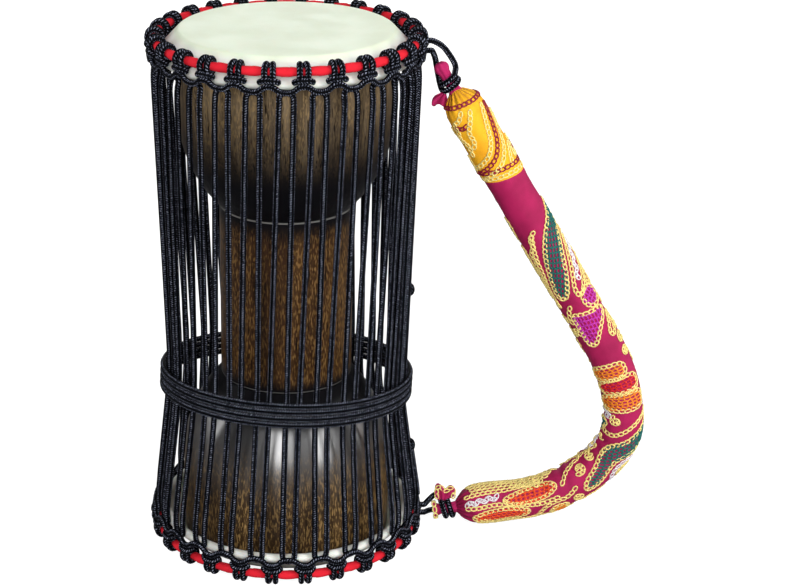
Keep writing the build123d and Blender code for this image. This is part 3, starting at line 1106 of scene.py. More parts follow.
@dataclass
class Heads:
    """The two skins, stretched over the rims and lapped round their hoops."""

    rim_radius: float = 80.0
    rim_top: float = 5.7
    edge_round: float = 3.0
    skin: float = 0.8
    fit: float = 0.05
    hoop_radius: float = 2.6
    hoop_inset: float = 5.0
    hoop_drop: float = 11.0
    lap_angle: float = 215.0
    steps: int = 260
    edge_steps: int = 6
    lap_steps: int = 14
    slope_shares: Spot = (0.33, 0.66)
    top_radii: tuple[float, ...] = (0.0, 12.0, 26.0, 40.0, 54.0, 66.0, 73.0)
    under_radii: tuple[float, ...] = (60.0, 30.0, 0.0)
    dent: float = 0.14
    dent_from: float = 83.0
    dent_full: float = 91.0

    def profile(self, end: DrumEnd) -> list[Spot]:
        """The skin's section as radius and outward height, in millimetres.

        Args:
            end: The end of the drum.

        Returns:
            An outline from the top's middle out, round the hoop and back underneath.
        """
        edge = (self.rim_radius - self.edge_round, self.rim_top - self.edge_round)
        hoop = (end.ring_radius - self.hoop_inset, -self.hoop_drop)
        inner = self.edge_round + self.fit
        hoop_inner = self.hoop_radius + self.fit
        run = (hoop[0] - edge[0], hoop[1] - edge[1])
        lean = math.degrees(math.acos((inner - hoop_inner) / math.hypot(*run)))
        slope = math.degrees(math.atan2(run[1], run[0])) + lean
        outline = [(radius, edge[1] + inner + self.skin) for radius in self.top_radii]
        outline += self.arc(edge, inner + self.skin, 90.0, slope, self.edge_steps)
        outline += self.sloping(edge, inner + self.skin, hoop, hoop_inner + self.skin, slope)
        outline += self.arc(hoop, hoop_inner + self.skin, slope, slope - self.lap_angle, self.lap_steps)
        outline += self.arc(hoop, hoop_inner, slope - self.lap_angle, slope, self.lap_steps)
        outline += self.sloping(hoop, hoop_inner, edge, inner, slope)
        outline += self.arc(edge, inner, slope, 90.0, self.edge_steps)
        return outline + [(radius, edge[1] + inner) for radius in self.under_radii]

    @staticmethod
    def arc(center: Spot, radius: float, start: float, end: float, count: int) -> list[Spot]:
        """Points of an arc between two angles."""
        angles = np.radians(np.linspace(start, end, count))
        return [(center[0] + radius * math.cos(a), center[1] + radius * math.sin(a)) for a in angles]

    def sloping(
        self, first: Spot, first_radius: float, last: Spot, last_radius: float, slope: float
    ) -> list[Spot]:
        """Points on the straight slope between two arcs.

        Args:
            first: The middle of the first arc.
            first_radius: Its radius.
            last: The middle of the last arc.
            last_radius: Its radius.
            slope: The direction square to the slope, in degrees.

        Returns:
            The points in millimetres.
        """
        way = np.array((math.cos(math.radians(slope)), math.sin(math.radians(slope))))
        start = np.array(first) + first_radius * way
        stop = np.array(last) + last_radius * way
        return [tuple(start + (stop - start) * share) for share in self.slope_shares]

    def dented(self, end: DrumEnd, radius: float, angle: float) -> float:
        """Pull the skin's slope in a little between the hitches, where the swags press it.

        Args:
            end: The end of the drum.
            radius: A point's radius in metres.
            angle: Its angle round the drum.

        Returns:
            The new radius.
        """
        pull = (radius / MM - self.dent_from) / (self.dent_full - self.dent_from)
        phase = HITCHES * (angle - math.radians(end.first_hitch))
        dent = self.dent * min(max(pull, 0.0), 1.0) * (1.0 - math.cos(phase))
        return radius - dent * MM

    def turned(self, end: DrumEnd) -> Mesh:
        """Turn one skin's section about the drum's axis.

        Args:
            end: The end of the drum.

        Returns:
            The mesh, with its texture places as a share round it and metres along its section.
        """
        section = self.profile(end)[:: -end.outward]
        outline = [(r * MM, (end.ring_z + end.outward * h) * MM) for r, h in section]
        steps = self.steps
        places = []
        for radius, height in outline:
            for step in range(steps):
                angle = TURN * step / steps
                out = self.dented(end, radius, angle)
                places.append(Vector((out * math.cos(angle), out * math.sin(angle), height)))
        runs = [0.0]
        for before, after in zip(outline, outline[1:]):
            runs.append(runs[-1] + math.dist(before, after))
        faces, corners = grid_faces(len(outline), steps, lambda row, step: (step / steps, runs[row]))
        return mesh_from(end.node("head_skin"), places, faces, corners)

    def build(self, material: Material) -> None:
        """Make both skins.

        Args:
            material: The skins' finish.
        """
        for end in ENDS:
            piece = add_object(end.node("head_skin"), self.poles_closed(self.turned(end)))
            dress(piece, material, Slot.SKIN, (end.node("head"),), Body.DRUM)

    @staticmethod
    def poles_closed(mesh: Mesh) -> Mesh:
        """Merge the points that meet on the axis.

        Args:
            mesh: The turned skin.

        Returns:
            The merged mesh.
        """
        holder = add_object("pole", mesh)
        weld = holder.modifiers.new("weld", "WELD")
        weld.merge_threshold = 0.001 * MM
        merged = baked(holder, mesh.name)
        bpy.data.objects.remove(holder)
        return merged


@dataclass
class RingCloth:
    """Red cloth wound round each crown ring in overlapping turns."""

    section_radius: float = 2.9
    overlap: float = 0.3
    puff: float = 0.75
    turns: int = 46
    steps: int = 552
    sides: int = 14

    def build(self, material: Material) -> None:
        """Make the cloth of both rings.

        Args:
            material: The cloth's finish.
        """
        for end in ENDS:
            places = []
            for step in range(self.steps):
                angle = 360.0 * step / self.steps
                between = 0.5 - 0.5 * math.cos(math.radians(HITCHES * (angle - end.first_hitch)))
                for side in range(self.sides):
                    turn = TURN * side / self.sides
                    phase = (self.turns * angle / 360.0 + side / self.sides) % 1.0
                    radius = self.section_radius + self.puff * between - self.overlap * phase
                    reach = end.ring_radius + radius * math.cos(turn)
                    places.append(polar(reach, angle, end.ring_z + radius * math.sin(turn)) * MM)
            run = TURN * end.ring_radius * MM / self.steps
            faces, corners = grid_faces(
                self.steps,
                self.sides,
                lambda step, side: (side / self.sides, run * step),
                (True, True),
                flip=True,
            )
            mesh = mesh_from(end.node("ring_cloth"), places, faces, corners)
            dress(add_object(mesh.name, mesh), material, Slot.RED, (end.node("ring_wrap"),), Body.DRUM)


@dataclass
class Cradles:
    """The hitches and swags of cord on each crown ring."""

    loop_radius: float = 5.2
    loop_spacing: float = 4.7
    loop_lean: float = 0.5
    collar_half: float = 4.4
    collar_reach: float = 2.0
    collar_rise: float = 5.6
    collar_drop: float = 5.0
    collar_end_rise: float = 2.6
    collar_end_drop: float = 6.9
    swag_rise: float = 3.6
    swag_drop: float = 13.9
    swag_run: float = 4.5
    garland_half: float = 3.2
    garland_rise: float = 4.4
    garland_drop: float = 9.5

    def loop(self, end: DrumEnd, side: int) -> list[Vector]:
        """Control points of one loop round the ring.

        Args:
            end: The end of the drum.
            side: Which loop of the hitch, -1 or 1.

        Returns:
            The points in metres.
        """
        count = 10
        reach = control_reach(self.loop_radius, count)
        points = []
        for step in range(count):
            turn = TURN * step / count
            lean = side * self.loop_lean * math.cos(turn)
            angle = end.first_hitch + (side * self.loop_spacing / 2 + lean) * end.degrees_per_mm
            points.append(end.place(reach * math.cos(turn), angle, reach * math.sin(turn)))
        return points

    def collar(self, end: DrumEnd) -> list[Vector]:
        """Control points of the collar under the loops.

        Args:
            end: The end of the drum.

        Returns:
            The points in metres.
        """
        far = self.collar_half + self.collar_reach
        high, low = (self.collar_rise, -self.collar_drop), (self.collar_end_rise, -self.collar_end_drop)
        spots = ((-far, low), (-self.collar_half, high), (0.0, high), (self.collar_half, high), (far, low))
        points = []
        for side, (rise, height) in spots:
            points.append(end.place(rise, end.first_hitch + side * end.degrees_per_mm, height))
        return points

    def garland(self, end: DrumEnd) -> list[Vector]:
        """Control points of the cord hung from the hitch, with half a swag to each side.

        Args:
            end: The end of the drum.

        Returns:
            The points in metres.
        """
        halves = []
        for side in (-1, 1):
            angle = end.first_hitch + side * PITCH / 2
            low = end.place(self.swag_rise, angle, -self.swag_drop)
            turn = low - sideways(angle) * (side * self.swag_run * MM)
            lean = side * self.garland_half * end.degrees_per_mm
            top = end.place(self.garland_rise, end.first_hitch + lean, -self.garland_drop)
            halves.append([low, turn, top])
        return halves[0] + halves[1][::-1]

    def build(self, material: Material) -> None:
        """Make one link for each end and repeat it round its ring.

        Args:
            material: The cord's finish.
        """
        tree = ring_tree()
        for end in ENDS:
            tubes = TubeSet(CORD_RADIUS, CORD_SIDES)
            for side in (-1, 1):
                tubes.add(CordLine(smooth_line(self.loop(end, side), steps=3, closed=True), closed=True))
            for route in (self.collar(end), self.garland(end)):
                tubes.add(CordLine(smooth_line(route, steps=5)))
            for place in tubes.places:
                place.z = max(place.z, 0.0)
            link = add_object(end.node("hitch"), tubes.mesh(end.node("hitch")))
            piece = tree.run(link, end.node("cord_cradle"), {"Count": HITCHES, "Finish": material})
            dress(piece, material, Slot.CORD, (end.node("cradle"),), Body.DRUM)


@dataclass
class BeltPlane:
    """The leaning plane of the belt."""

    height: float = 126.5
    fall_x: float = 4.5
    fall_y: float = 9.5
    radius: float = 95.2

    def matrix(self) -> Matrix:
        """The plane's own axes and origin, in millimetres.

        Returns:
            The matrix from the plane's own places to the drum's.
        """
        up = Vector((self.fall_x / self.radius, self.fall_y / self.radius, 1.0)).normalized()
        ahead = Vector((1.0, 0.0, -self.fall_x / self.radius))
        ahead = (ahead - up * ahead.dot(up)).normalized()
        across = up.cross(ahead)
        turn = Matrix((ahead, across, up)).transposed().to_4x4()
        return Matrix.Translation((0.0, 0.0, self.height)) @ turn

    def place(self, point: Vector) -> Vector:
        """A local point in metres in the drum's frame."""
        return (self.matrix() @ point) * MM

    def over(self, point: Vector) -> float:
        """How far a point in metres is above the plane, along the drum's axis."""
        x, y, z = point / MM
        return z - self.height + (self.fall_x * x + self.fall_y * y) / self.radius


# Numbers of the points in a leg's list that its knots and spare ends are measured from.
TOP_LEG, UPPER_GRIP, LOWER_GRIP, LOW_LEG = 1, 4, 5, 8


@dataclass
class Lacing:
    """The cords between the two cradles, in four groups, with their knots and spare ends."""

    plane: BeltPlane
    bight_rise: float = -1.0
    bight_drop: float = 15.4
    low_bight_rise: float = 0.2
    low_bight_drop: float = 11.2
    leg_rise: float = 1.5
    leg_drop: float = 24.0
    waist_radius: float = 90.45
    grip: float = 13.0
    straight: float = 26.0
    side_bights: int = 3
    middle: float = 0.250
    top: float = 0.372
    belt_top: float = 0.145
    belt_foot: float = 0.112
    foot: float = 0.028
    knot_heights: Spot = (197.0, 69.0)
    tail_angles: Spot = (2.6, -0.2)
    tail_tops: Spot = (63.0, 46.0)
    tail_foot: float = 23.5
    tail_lift: float = 1.6
    tail_bulge: float = 0.6
    tail_sway: float = 0.4
    knot_marks: int = 20
    knot_reach: float = 3.0
    knot_weave: float = 0.5
    knot_rise: float = 2.7
    knot_cord: float = 2.0

    @staticmethod
    def pair_angle(end: DrumEnd, number: int) -> float:
        """The middle of a pair of cords, between two hitches."""
        return end.first_hitch + (number + 0.5) * PITCH

    def leg(self, number: int, upper_side: int, lower_number: int, lower_side: int) -> list[Vector]:
        """Control points of one cord from the upper bight's corner to the lower bight's middle.

        Args:
            number: The upper bight's number.
            upper_side: Which cord of the upper pair.
            lower_number: The lower bight's number.
            lower_side: Which cord of the lower pair.

        Returns:
            The points in metres, with one on each long run where it leaves a bend.
        """
        top = self.pair_angle(UPPER, number) + upper_side * UPPER.pair_spread
        low_middle = self.pair_angle(LOWER, lower_number)
        low = low_middle + lower_side * LOWER.pair_spread
        top_leg = UPPER.place(self.leg_rise, top, -self.leg_drop)
        low_leg = LOWER.place(self.leg_rise, low, -self.leg_drop)
        share = (top_leg.z / MM - self.plane.height) / ((top_leg.z - low_leg.z) / MM)
        waist = top + (low - top) * share
        grips = [self.plane.place(polar(self.waist_radius, waist, side * self.grip)) for side in (1, -1)]
        bight_end = LOWER.place(self.low_bight_rise, low_middle, -self.low_bight_drop)
        reach = (LOWER.ring_radius + self.low_bight_rise) * math.radians(LOWER.pair_spread) * lower_side * MM
        bight_corner = bight_end + sideways(low_middle) * reach
        top_corner = UPPER.place(self.bight_rise, top, -self.bight_drop)
        down = (grips[0] - top_leg).normalized() * MM
        under = (low_leg - grips[1]).normalized() * MM
        return [
            top_corner,
            top_leg,
            top_leg + down * self.straight,
            grips[0] - down * self.straight,
            *grips,
            grips[1] + under * self.straight,
            low_leg - under * self.straight,
            low_leg,
            bight_corner,
            bight_end,
        ]

    def lace(self, number: int) -> CordLine:
        """One bight of lacing, up from a lower bight, over the upper swag and down again."""
        legs = self.leg(number, -1, number - 1, 1)[::-1] + self.leg(number, 1, number, -1)
        return CordLine(smooth_line(legs, steps=5))

    def groups(self) -> dict[str, list[int]]:
        """The numbers of the bights in each of the four groups.

        Returns:
            The numbers by the group's name.
        """
        around = {}
        for name, angle in (("front", -90.0), ("back", 90.0)):
            middle = round(angle / PITCH - 0.5)
            reach = range(middle - self.side_bights, middle + self.side_bights + 1)
            around[name] = [n % HITCHES for n in reach]
        taken = around["front"] + around["back"]
        rest = [n for n in range(HITCHES) if n not in taken]
        around["right"] = [n for n in rest if math.cos(math.radians(self.pair_angle(UPPER, n))) > 0]
        around["left"] = [n for n in rest if n not in around["right"]]
        return around

    def is_high(self, group: str, point: Vector) -> bool:
        """Whether a point belongs to the upper piece of its group."""
        return self.plane.over(point) > 0.0 if group in ("left", "right") else point.z > self.middle

    def cut(self, line: CordLine, group: str) -> list[tuple[bool, int, int]]:
        """Runs of a line's points in the upper or the lower piece, sharing their end points.

        Args:
            line: One bight of lacing.
            group: The group that it belongs to.

        Returns:
            For each run whether it is high, its first point and one past its last.
        """
        sides = [self.is_high(group, point) for point in line.points]
        runs = []
        start = 0
        for index in range(1, len(sides) + 1):
            if index == len(sides) or sides[index] != sides[start]:
                runs.append((sides[start], start, min(index + 1, len(sides))))
                start = index
        return runs

    def build(self, material: Material) -> None:
        """Make the cords of each group in an upper and a lower piece, each baked in place.

        Args:
            material: The cord's finish.
        """
        for name, numbers in self.groups().items():
            halves = {True: TubeSet(CORD_RADIUS), False: TubeSet(CORD_RADIUS)}
            for number in numbers:
                line = self.lace(number)
                for high, start, end in self.cut(line, name):
                    halves[high].add(line, start, end)
            for high, tubes in halves.items():
                label = f"{name}_lacing_{'upper' if high else 'lower'}"
                piece = dress(add_object(label, tubes.mesh(label)), material, Slot.CORD, (f"{name}_cords",))
                self.bend(piece, name, high)
        self.build_knots(material)
        self.build_tails(material)

    def bend(self, piece: Piece, group: str, high: bool) -> None:
        """Bake a piece of lacing's placement into its mesh; the body and the spans worked out for it go
        unused.

        Args:
            piece: The piece of lacing.
            group: The group that it belongs to.
            high: Whether it is the upper piece.
        """
        moving = {"front": Body.FRONT, "back": Body.BACK}.get(group, Body.BELT).value
        if moving == Body.BELT.value:
            spans = ((self.top, self.belt_top), (self.belt_foot, self.foot))
        else:
            spans = ((self.top, self.middle), (self.middle, self.belt_top))
        start, end = spans[0] if high else spans[1]
        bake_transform(piece)

    def on_leg(self, height: float) -> tuple[Vector, Vector]:
        """The place and the upward direction at a height on the knotted cord.

        Args:
            height: The height in millimetres.

        Returns:
            The place in metres and the direction.
        """
        leg = self.leg(0, -1, -1, 1)
        ends = (TOP_LEG, UPPER_GRIP) if height > self.plane.height else (LOWER_GRIP, LOW_LEG)
        above, below = (leg[end] for end in ends)
        way = (above - below).normalized()
        return below + way * ((height * MM - below.z) / way.z), way

    def build_knots(self, material: Material) -> None:
        """Make the two stopper knots, each a cord wound over itself.

        Args:
            material: The cord's finish.
        """
        for name, height in zip(("upper", "lower"), self.knot_heights):
            center, way = self.on_leg(height)
            out = Vector((center.x, center.y, 0.0)).normalized()
            across = way.cross(out)
            points = []
            for step in range(self.knot_marks):
                turn = TURN * step / self.knot_marks
                reach = (self.knot_reach + self.knot_weave * math.cos(3 * turn)) * MM
                rise = self.knot_rise * math.sin(3 * turn) * MM
                swing = out * math.cos(2 * turn) + across * math.sin(2 * turn)
                points.append(center + swing * reach + way * rise)
            line = CordLine(smooth_line(points, steps=4, closed=True), closed=True)
            nodes = (f"{name}_lacing_knot",)
            cord_piece(f"{name}_stopper_knot", [line], material, Body.DRUM, nodes, self.knot_cord * MM)

    def tail_place(self, angle: float, height: float) -> Vector:
        """A point of a spare end, just outside the cords at its height.

        Args:
            angle: Its angle in degrees.
            height: Its height in millimetres.

        Returns:
            The point in metres.
        """
        leg = self.leg(0, -1, -1, 1)
        waist, foot = leg[LOWER_GRIP] / MM, leg[LOW_LEG] / MM
        share = (height - waist.z) / (foot.z - waist.z)
        radii = [math.hypot(place.x, place.y) for place in (waist, foot)]
        return polar(radii[0] + (radii[1] - radii[0]) * share + self.tail_lift, angle, height) * MM

    def build_tails(self, material: Material) -> None:
        """Make the spare ends that lie between the cords on the right.

        Args:
            material: The cord's finish.
        """
        for name, angle, top in zip(("long", "short"), self.tail_angles, self.tail_tops):
            middle = (top + self.tail_foot) / 2
            bulge = polar(self.tail_bulge, angle, 0.0) * MM
            route = [
                self.tail_place(angle, top),
                self.tail_place(angle + self.tail_sway, middle) + bulge,
                self.tail_place(angle, self.tail_foot),
            ]
            line = CordLine(smooth_line(route, steps=14))
            piece = cord_piece(f"{name}_spare_end", [line], material, Body.DRUM, ("lacing_tail",))
            if line.length > SHORTEST_CORD:
                free_cord(line)


@dataclass
class Belt:
    """The cord wound four times round the lacing."""

    plane: BeltPlane
    turns: int = 4
    step: float = 4.85
    lead: float = 90.0
    tail: float = 12.0
    per_turn: int = 24

    def build(self, material: Material) -> None:
        """Make the belt as one wound cord.

        Args:
            material: The cord's finish.
        """
        reach = control_reach(self.plane.radius, self.per_turn)
        points = []
        for index in range(self.turns * self.per_turn + 1):
            share = index / self.per_turn
            height = (share - self.turns / 2) * self.step
            points.append(self.plane.place(polar(reach, self.lead + 360.0 * share, height)))
        first_way = (points[0] - points[1]).normalized()
        last_way = (points[-1] - points[-2]).normalized()
        points.insert(0, points[0] + first_way * self.tail * MM)
        points.append(points[-1] + last_way * self.tail * MM)
        line = CordLine(smooth_line(points, steps=5))
        cord_piece("wound_belt", [line], material, Body.BELT, ("tuning_belt",))


@dataclass
class StitchRow:
    """One row of chain stitch, as places along and across the strap in millimetres."""

    thread: Thread
    points: list[Spot]
    closed: bool = False
    straight: bool = False

    def line(self) -> np.ndarray:
        """The row's smoothed places.

        Returns:
            The places, one to each line of an array.
        """
        if self.straight:
            return np.array(self.points + (self.points[:1] if self.closed else []))
        flat = [(s, w, 0.0) for s, w in self.points]
        smooth = [(p.x, p.y) for p in smooth_line(flat, 8, self.closed)]
        return np.array(smooth + (smooth[:1] if self.closed else []))


@dataclass
class Embroidery:
    """The strap's chain-stitch pattern, in rows along and across the strap in millimetres."""

    row_gap: float = 2.5
    last_gap: float = 0.6
    least_row: float = 2.0
    half_lap: float = 45.8
    lap_marks: int = 19
    curl_marks: int = 9
    curl_close: float = 0.7
    turn: float = 0.0
    rows: list[StitchRow] = field(default_factory=list)

    def row(
        self, *points: Spot, thread: Thread = Thread.STRAW, closed: bool = False, straight: bool = False
    ) -> StitchRow:
        """Add one row on the side that is being drawn.

        Args:
            points: Places along and across the strap.
            thread: The row's thread.
            closed: Whether the row joins its own start.
            straight: Whether it keeps its corners.

        Returns:
            The new row.
        """
        places = [(s, w + self.turn) for s, w in points]
        self.rows.append(StitchRow(thread, places, closed, straight))
        return self.rows[-1]

    def fill(self, thread: Thread, outline: StitchRow, angle: float, inset: float = 2.3) -> None:
        """Fill an outline with straight rows.

        Args:
            thread: The fill's thread.
            outline: A closed row.
            angle: The rows' direction in degrees from along the strap.
            inset: How far the rows stay inside the outline.
        """
        line = outline.line()
        along = np.array((math.cos(math.radians(angle)), math.sin(math.radians(angle))))
        across = np.array((-along[1], along[0]))
        runs = line @ along
        offsets = line @ across
        level = offsets.min() + inset
        while level < offsets.max() - self.last_gap * inset:
            crossings = []
            for i in range(len(line) - 1):
                low, high = offsets[i], offsets[i + 1]
                if (low <= level) != (high <= level):
                    crossings.append(runs[i] + (runs[i + 1] - runs[i]) * (level - low) / (high - low))
            crossings.sort()
            for start, end in zip(crossings[::2], crossings[1::2]):
                if end - start > 2 * inset + self.least_row:
                    ends = [along * at + across * level for at in (start + inset, end - inset)]
                    self.rows.append(StitchRow(thread, [tuple(place) for place in ends], straight=True))
            level += self.row_gap

    def patch(self, inside: Thread, angle: float, *points: Spot, inset: float = 1.9) -> None:
        """Outline a smooth closed shape and fill it."""
        self.fill(inside, self.row(*points, closed=True), angle, inset)

    def oval(self, center: Spot, along: float, across: float, thread: Thread = Thread.STRAW) -> StitchRow:
        """Add a closed oval row.

        Args:
            center: The oval's middle.
            along: Half its length along the strap.
            across: Half its width.
            thread: The row's thread.

        Returns:
            The new row.
        """
        turns = np.linspace(0.0, TURN, 9)[:-1]
        places = [(center[0] + along * math.cos(t), center[1] + across * math.sin(t)) for t in turns]
        return self.row(*places, thread=thread, closed=True)

    def zigzag(self, start: Spot, end: Spot, teeth: int, size: float = 2.2) -> None:
        """Add a white zigzag row between two places.

        Args:
            start: The first place.
            end: The last place.
            teeth: How many teeth it has.
            size: How far they stand out.
        """
        first, last = np.array(start), np.array(end)
        way = (last - first) / np.linalg.norm(last - first)
        side = np.array((-way[1], way[0])) * size
        swings = [side if tooth % 2 else -side for tooth in range(teeth + 1)]
        points = [first + (last - first) * tooth / teeth + swing for tooth, swing in enumerate(swings)]
        self.row(*[tuple(point) for point in points], thread=Thread.WHITE, straight=True)

    def curl(self, center: Spot, size: float, start: float, turns: float = 1.2) -> None:
        """Add a small curl that winds inwards.

        Args:
            center: The curl's middle.
            size: Its outer radius.
            start: The angle of its outer end, in degrees.
            turns: How often it goes round.
        """
        shares = np.linspace(0.0, 1.0, max(self.curl_marks, int(self.curl_marks * turns)))
        angles = math.radians(start) + TURN * turns * shares
        reaches = size * (1.0 - self.curl_close * shares)
        points = zip(center[0] + reaches * np.cos(angles), center[1] + reaches * np.sin(angles))
        self.row(*points)

    def ring(self, thread: Thread, along: float, sway: float = 2.5) -> None:
        """Add a row right round the strap."""
        laps = np.linspace(-self.half_lap, self.half_lap, self.lap_marks)
        self.row(*[(along + sway * math.sin(math.pi * w / self.half_lap), w) for w in laps], thread=thread)

    def petal(self, along: float, inner: float, outer: float, half: float, inside: Thread) -> None:
        """Add a round-ended petal across the strap.

        Args:
            along: The petal's place along the strap.
            inner: Its narrow end across the strap.
            outer: Its round end.
            half: Half its width.
            inside: The thread of its fill.
        """
        sides = ((0.5, inner), (1.0, inner + 6.0), (1.0, outer - 5.0), (0.7, outer + 1.0))
        low = [(along - half * share, w) for share, w in sides]
        high = [(along + half * share, w) for share, w in sides[::-1]]
        self.fill(inside, self.row(*low, *high, closed=True), 90.0)

    def gold_end(self) -> None:
        """Rows of the golden end."""
        self.row((23, 14), (36, 9), (52, 5), (63, -4), (66, -17))
        self.row((24, 19), (38, 14), (56, 9), (68, -2), (71, -17), thread=Thread.MAROON)
        self.row((32, 22), (46, 17), (61, 12), (73, 2), (76, -14))
        self.row((20, -3), (28, -8), (26, -15), (34, -12), (40, -17), (46, -10), (56, -13))
        self.row((22, 3), (31, -1), (38, -7), (46, -4), (50, -9))
        self.row((30, -13), (35, -8), (31, -4), thread=Thread.MAROON)
        self.row((56, 25), (72, 17), (70, 26), closed=True, straight=True)
        self.row((62, 23), (68, 21), thread=Thread.MAROON)
        self.row((60, 19), (66, 13), (74, 11))

    def long_run(self) -> None:
        """Leaves, oval, triangle and curls of the long straight run."""
        self.patch(
            Thread.TEAL, -25.0, (110, 26), (122, 17), (136, 3), (152, -4), (170, -9), (188, -12), (190, -5),
            (177, 1), (161, 7), (147, 12), (135, 20), (124, 28),
        )
        self.row(
            (134, 28), (150, 16), (170, 9), (187, 2), (194, 5), (184, 13), (168, 21), (158, 28),
            closed=True,
        )
        self.zigzag((144, 24), (180, 9), 9)
        self.row((166, 27), (176, 19), (188, 14), (192, 20), (180, 26), closed=True)
        self.row((128, -1), (134, -9), (140, -6), (145, -14), (154, -11), (158, -18), (170, -14))
        self.row((130, -4), (146, -10), (166, -13), (182, -17), (196, -15))
        self.fill(Thread.VIOLET, self.oval((197, 12), 9.0, 8.0), 20.0)
        self.patch(
            Thread.VIOLET, 0.0, (203, -11), (207, 2), (209, 17), (214, 15), (224, 4), (236, -5), (230, -9),
            (216, -8),
        )
        self.row((214, 22), (222, 16), (233, 9), (236, 14), (226, 21), closed=True)
        self.row((196, -6), (204, -14), (212, -12))
        self.curl((220, -14), 4.4, 60.0)
        self.curl((208, -19), 4.2, 200.0)
        self.curl((241, 18), 4.8, 120.0)
        self.curl((251, 15), 4.4, 60.0)
        self.curl((232, 25), 4.4, 160.0)

    def bend(self) -> None:
        """Petals, swoosh and spiral of the bend."""
        self.petal(261.0, -20.0, 7.0, 6.4, Thread.ORANGE)
        self.petal(274.0, -18.0, 14.0, 6.4, Thread.RED)
        self.petal(288.5, -20.0, 15.0, 7.2, Thread.ORANGE)
        self.row((296, -22), (299, -14), (304, -11), (302, -19), thread=Thread.WHITE)
        self.curl((305, -8), 4.6, 200.0)
        self.row((299, 21), (307, 8), (316, -3), (322, -12), (318, -20))
        self.patch(
            Thread.TEAL, -40.0, (303, 27), (313, 13), (323, 1), (331, -9), (342, -11), (355, -5), (368, -1),
            (373, 6), (362, 8), (349, 3), (339, 1), (331, 9), (321, 20), (312, 30),
        )
        self.oval((343, 16), 11.0, 9.0, Thread.WHITE)
        self.curl((343, 16), 7.6, 20.0, 2.0)
        self.curl((352, -15), 4.4, 240.0)
        self.curl((366, -12), 5.0, 30.0)
        self.row((340, -18), (352, -22), (366, -21), (378, -16), (386, -8))
        self.row((326, 27), (334, 20), (330, 29))
        self.row((360, 20), (370, 16), (380, 17))

    def lower_end(self) -> None:
        """Close rows, zigzag and flame leaves of the lower end."""
        for line in range(5):
            width = -29.0 + 2.9 * line
            self.row((386 + 5 * line, width + 3), (410, width), (440, width), (464 - line, width + 1.5))
        self.patch(
            Thread.FLAME, 3.0, (388, -10), (398, -15), (416, -14), (434, -9), (438, -5), (424, -3),
            (402, -4),
        )
        self.row((404, -18), (420, -17.5), (436, -14), (448, -15), (466, -13))
        self.zigzag((440, -10), (466, -7), 7)
        self.row((430, -3), (442, -5), (454, -3), (466, -3))
        self.row((392, -1), (404, 0), (416, -1), (428, -4))
        self.patch(
            Thread.FLAME, 4.0, (414, 3), (428, -1), (446, 0), (460, 3), (462, 9), (444, 10), (424, 9),
        )
        self.row((376, -2), (386, 3), (396, 1), (408, 5), (412, 14), (430, 15), (458, 14))
        self.fill(Thread.ORANGE, self.row((386, 8), (398, 6), (404, 13), (394, 17), closed=True), 10.0)
        self.curl((380, 8), 4.6, 90.0)

    def draw(self) -> list[StitchRow]:
        """Lay out every row, on the front and again on the back.

        Returns:
            All the rows.
        """
        self.ring(Thread.MAROON, 16.5, 1.5)
        self.ring(Thread.MAROON, 73.5)
        self.ring(Thread.STRAW, 78.8)
        for side in (0.0, self.half_lap):
            self.turn = side
            self.gold_end()
            self.long_run()
            self.bend()
            self.lower_end()
        return self.rows


@dataclass
class StrapLine:
    """The strap's middle line, in the plane of the drum's axis, and its thickness along it."""

    radius: float = 14.6
    neck_radius: float = 5.2
    neck_span: float = 8.3
    shoulder: float = 14.0
    fullness: float = 0.55
    route: tuple[Spot, ...] = (
        (119.3, 360.6), (185.9, 248.8), (230.1, 174.6), (252.5, 137.0), (264.5, 95.0),
        (260.0, 63.0), (224.0, 30.5), (190.0, 18.6), (168.0, 17.2), (127.5, 10.6),
    )
    line: CordLine = field(init=False)

    def __post_init__(self) -> None:
        """Draw the middle line."""
        self.line = CordLine(smooth_line([Vector((x, 0.0, z)) * MM for x, z in self.route], steps=14))

    def section(self, along: float) -> float:
        """The strap's radius at a distance along it.

        Args:
            along: The distance along it in metres.

        Returns:
            The radius in metres.
        """
        edge = min(along, self.line.length - along) / MM - self.neck_span
        share = min(max(edge / self.shoulder, 0.0), 1.0)
        swell = math.sin(share * math.pi / 2) ** self.fullness
        return (self.neck_radius + (self.radius - self.neck_radius) * swell) * MM

    @staticmethod
    def outward(way: Vector) -> Vector:
        """The direction away from the drum, square to the strap's run."""
        return Vector((-way.z, 0.0, way.x)).normalized()

    def around(self, way: Vector, turn: float) -> Vector:
        """The direction out of the strap at an angle round from its front."""
        return self.outward(way) * math.sin(turn) + FRONT * math.cos(turn)

    def neck(self, upper: bool) -> tuple[Vector, Vector]:
        """One neck's place in millimetres, and the direction from it into the strap.

        Args:
            upper: Whether it is the neck at the upper ring.

        Returns:
            The place and the unit direction.
        """
        ends = self.route if upper else self.route[::-1]
        place, beyond = (Vector((x, 0.0, z)) for x, z in ends[:2])
        return place, (beyond - place).normalized()


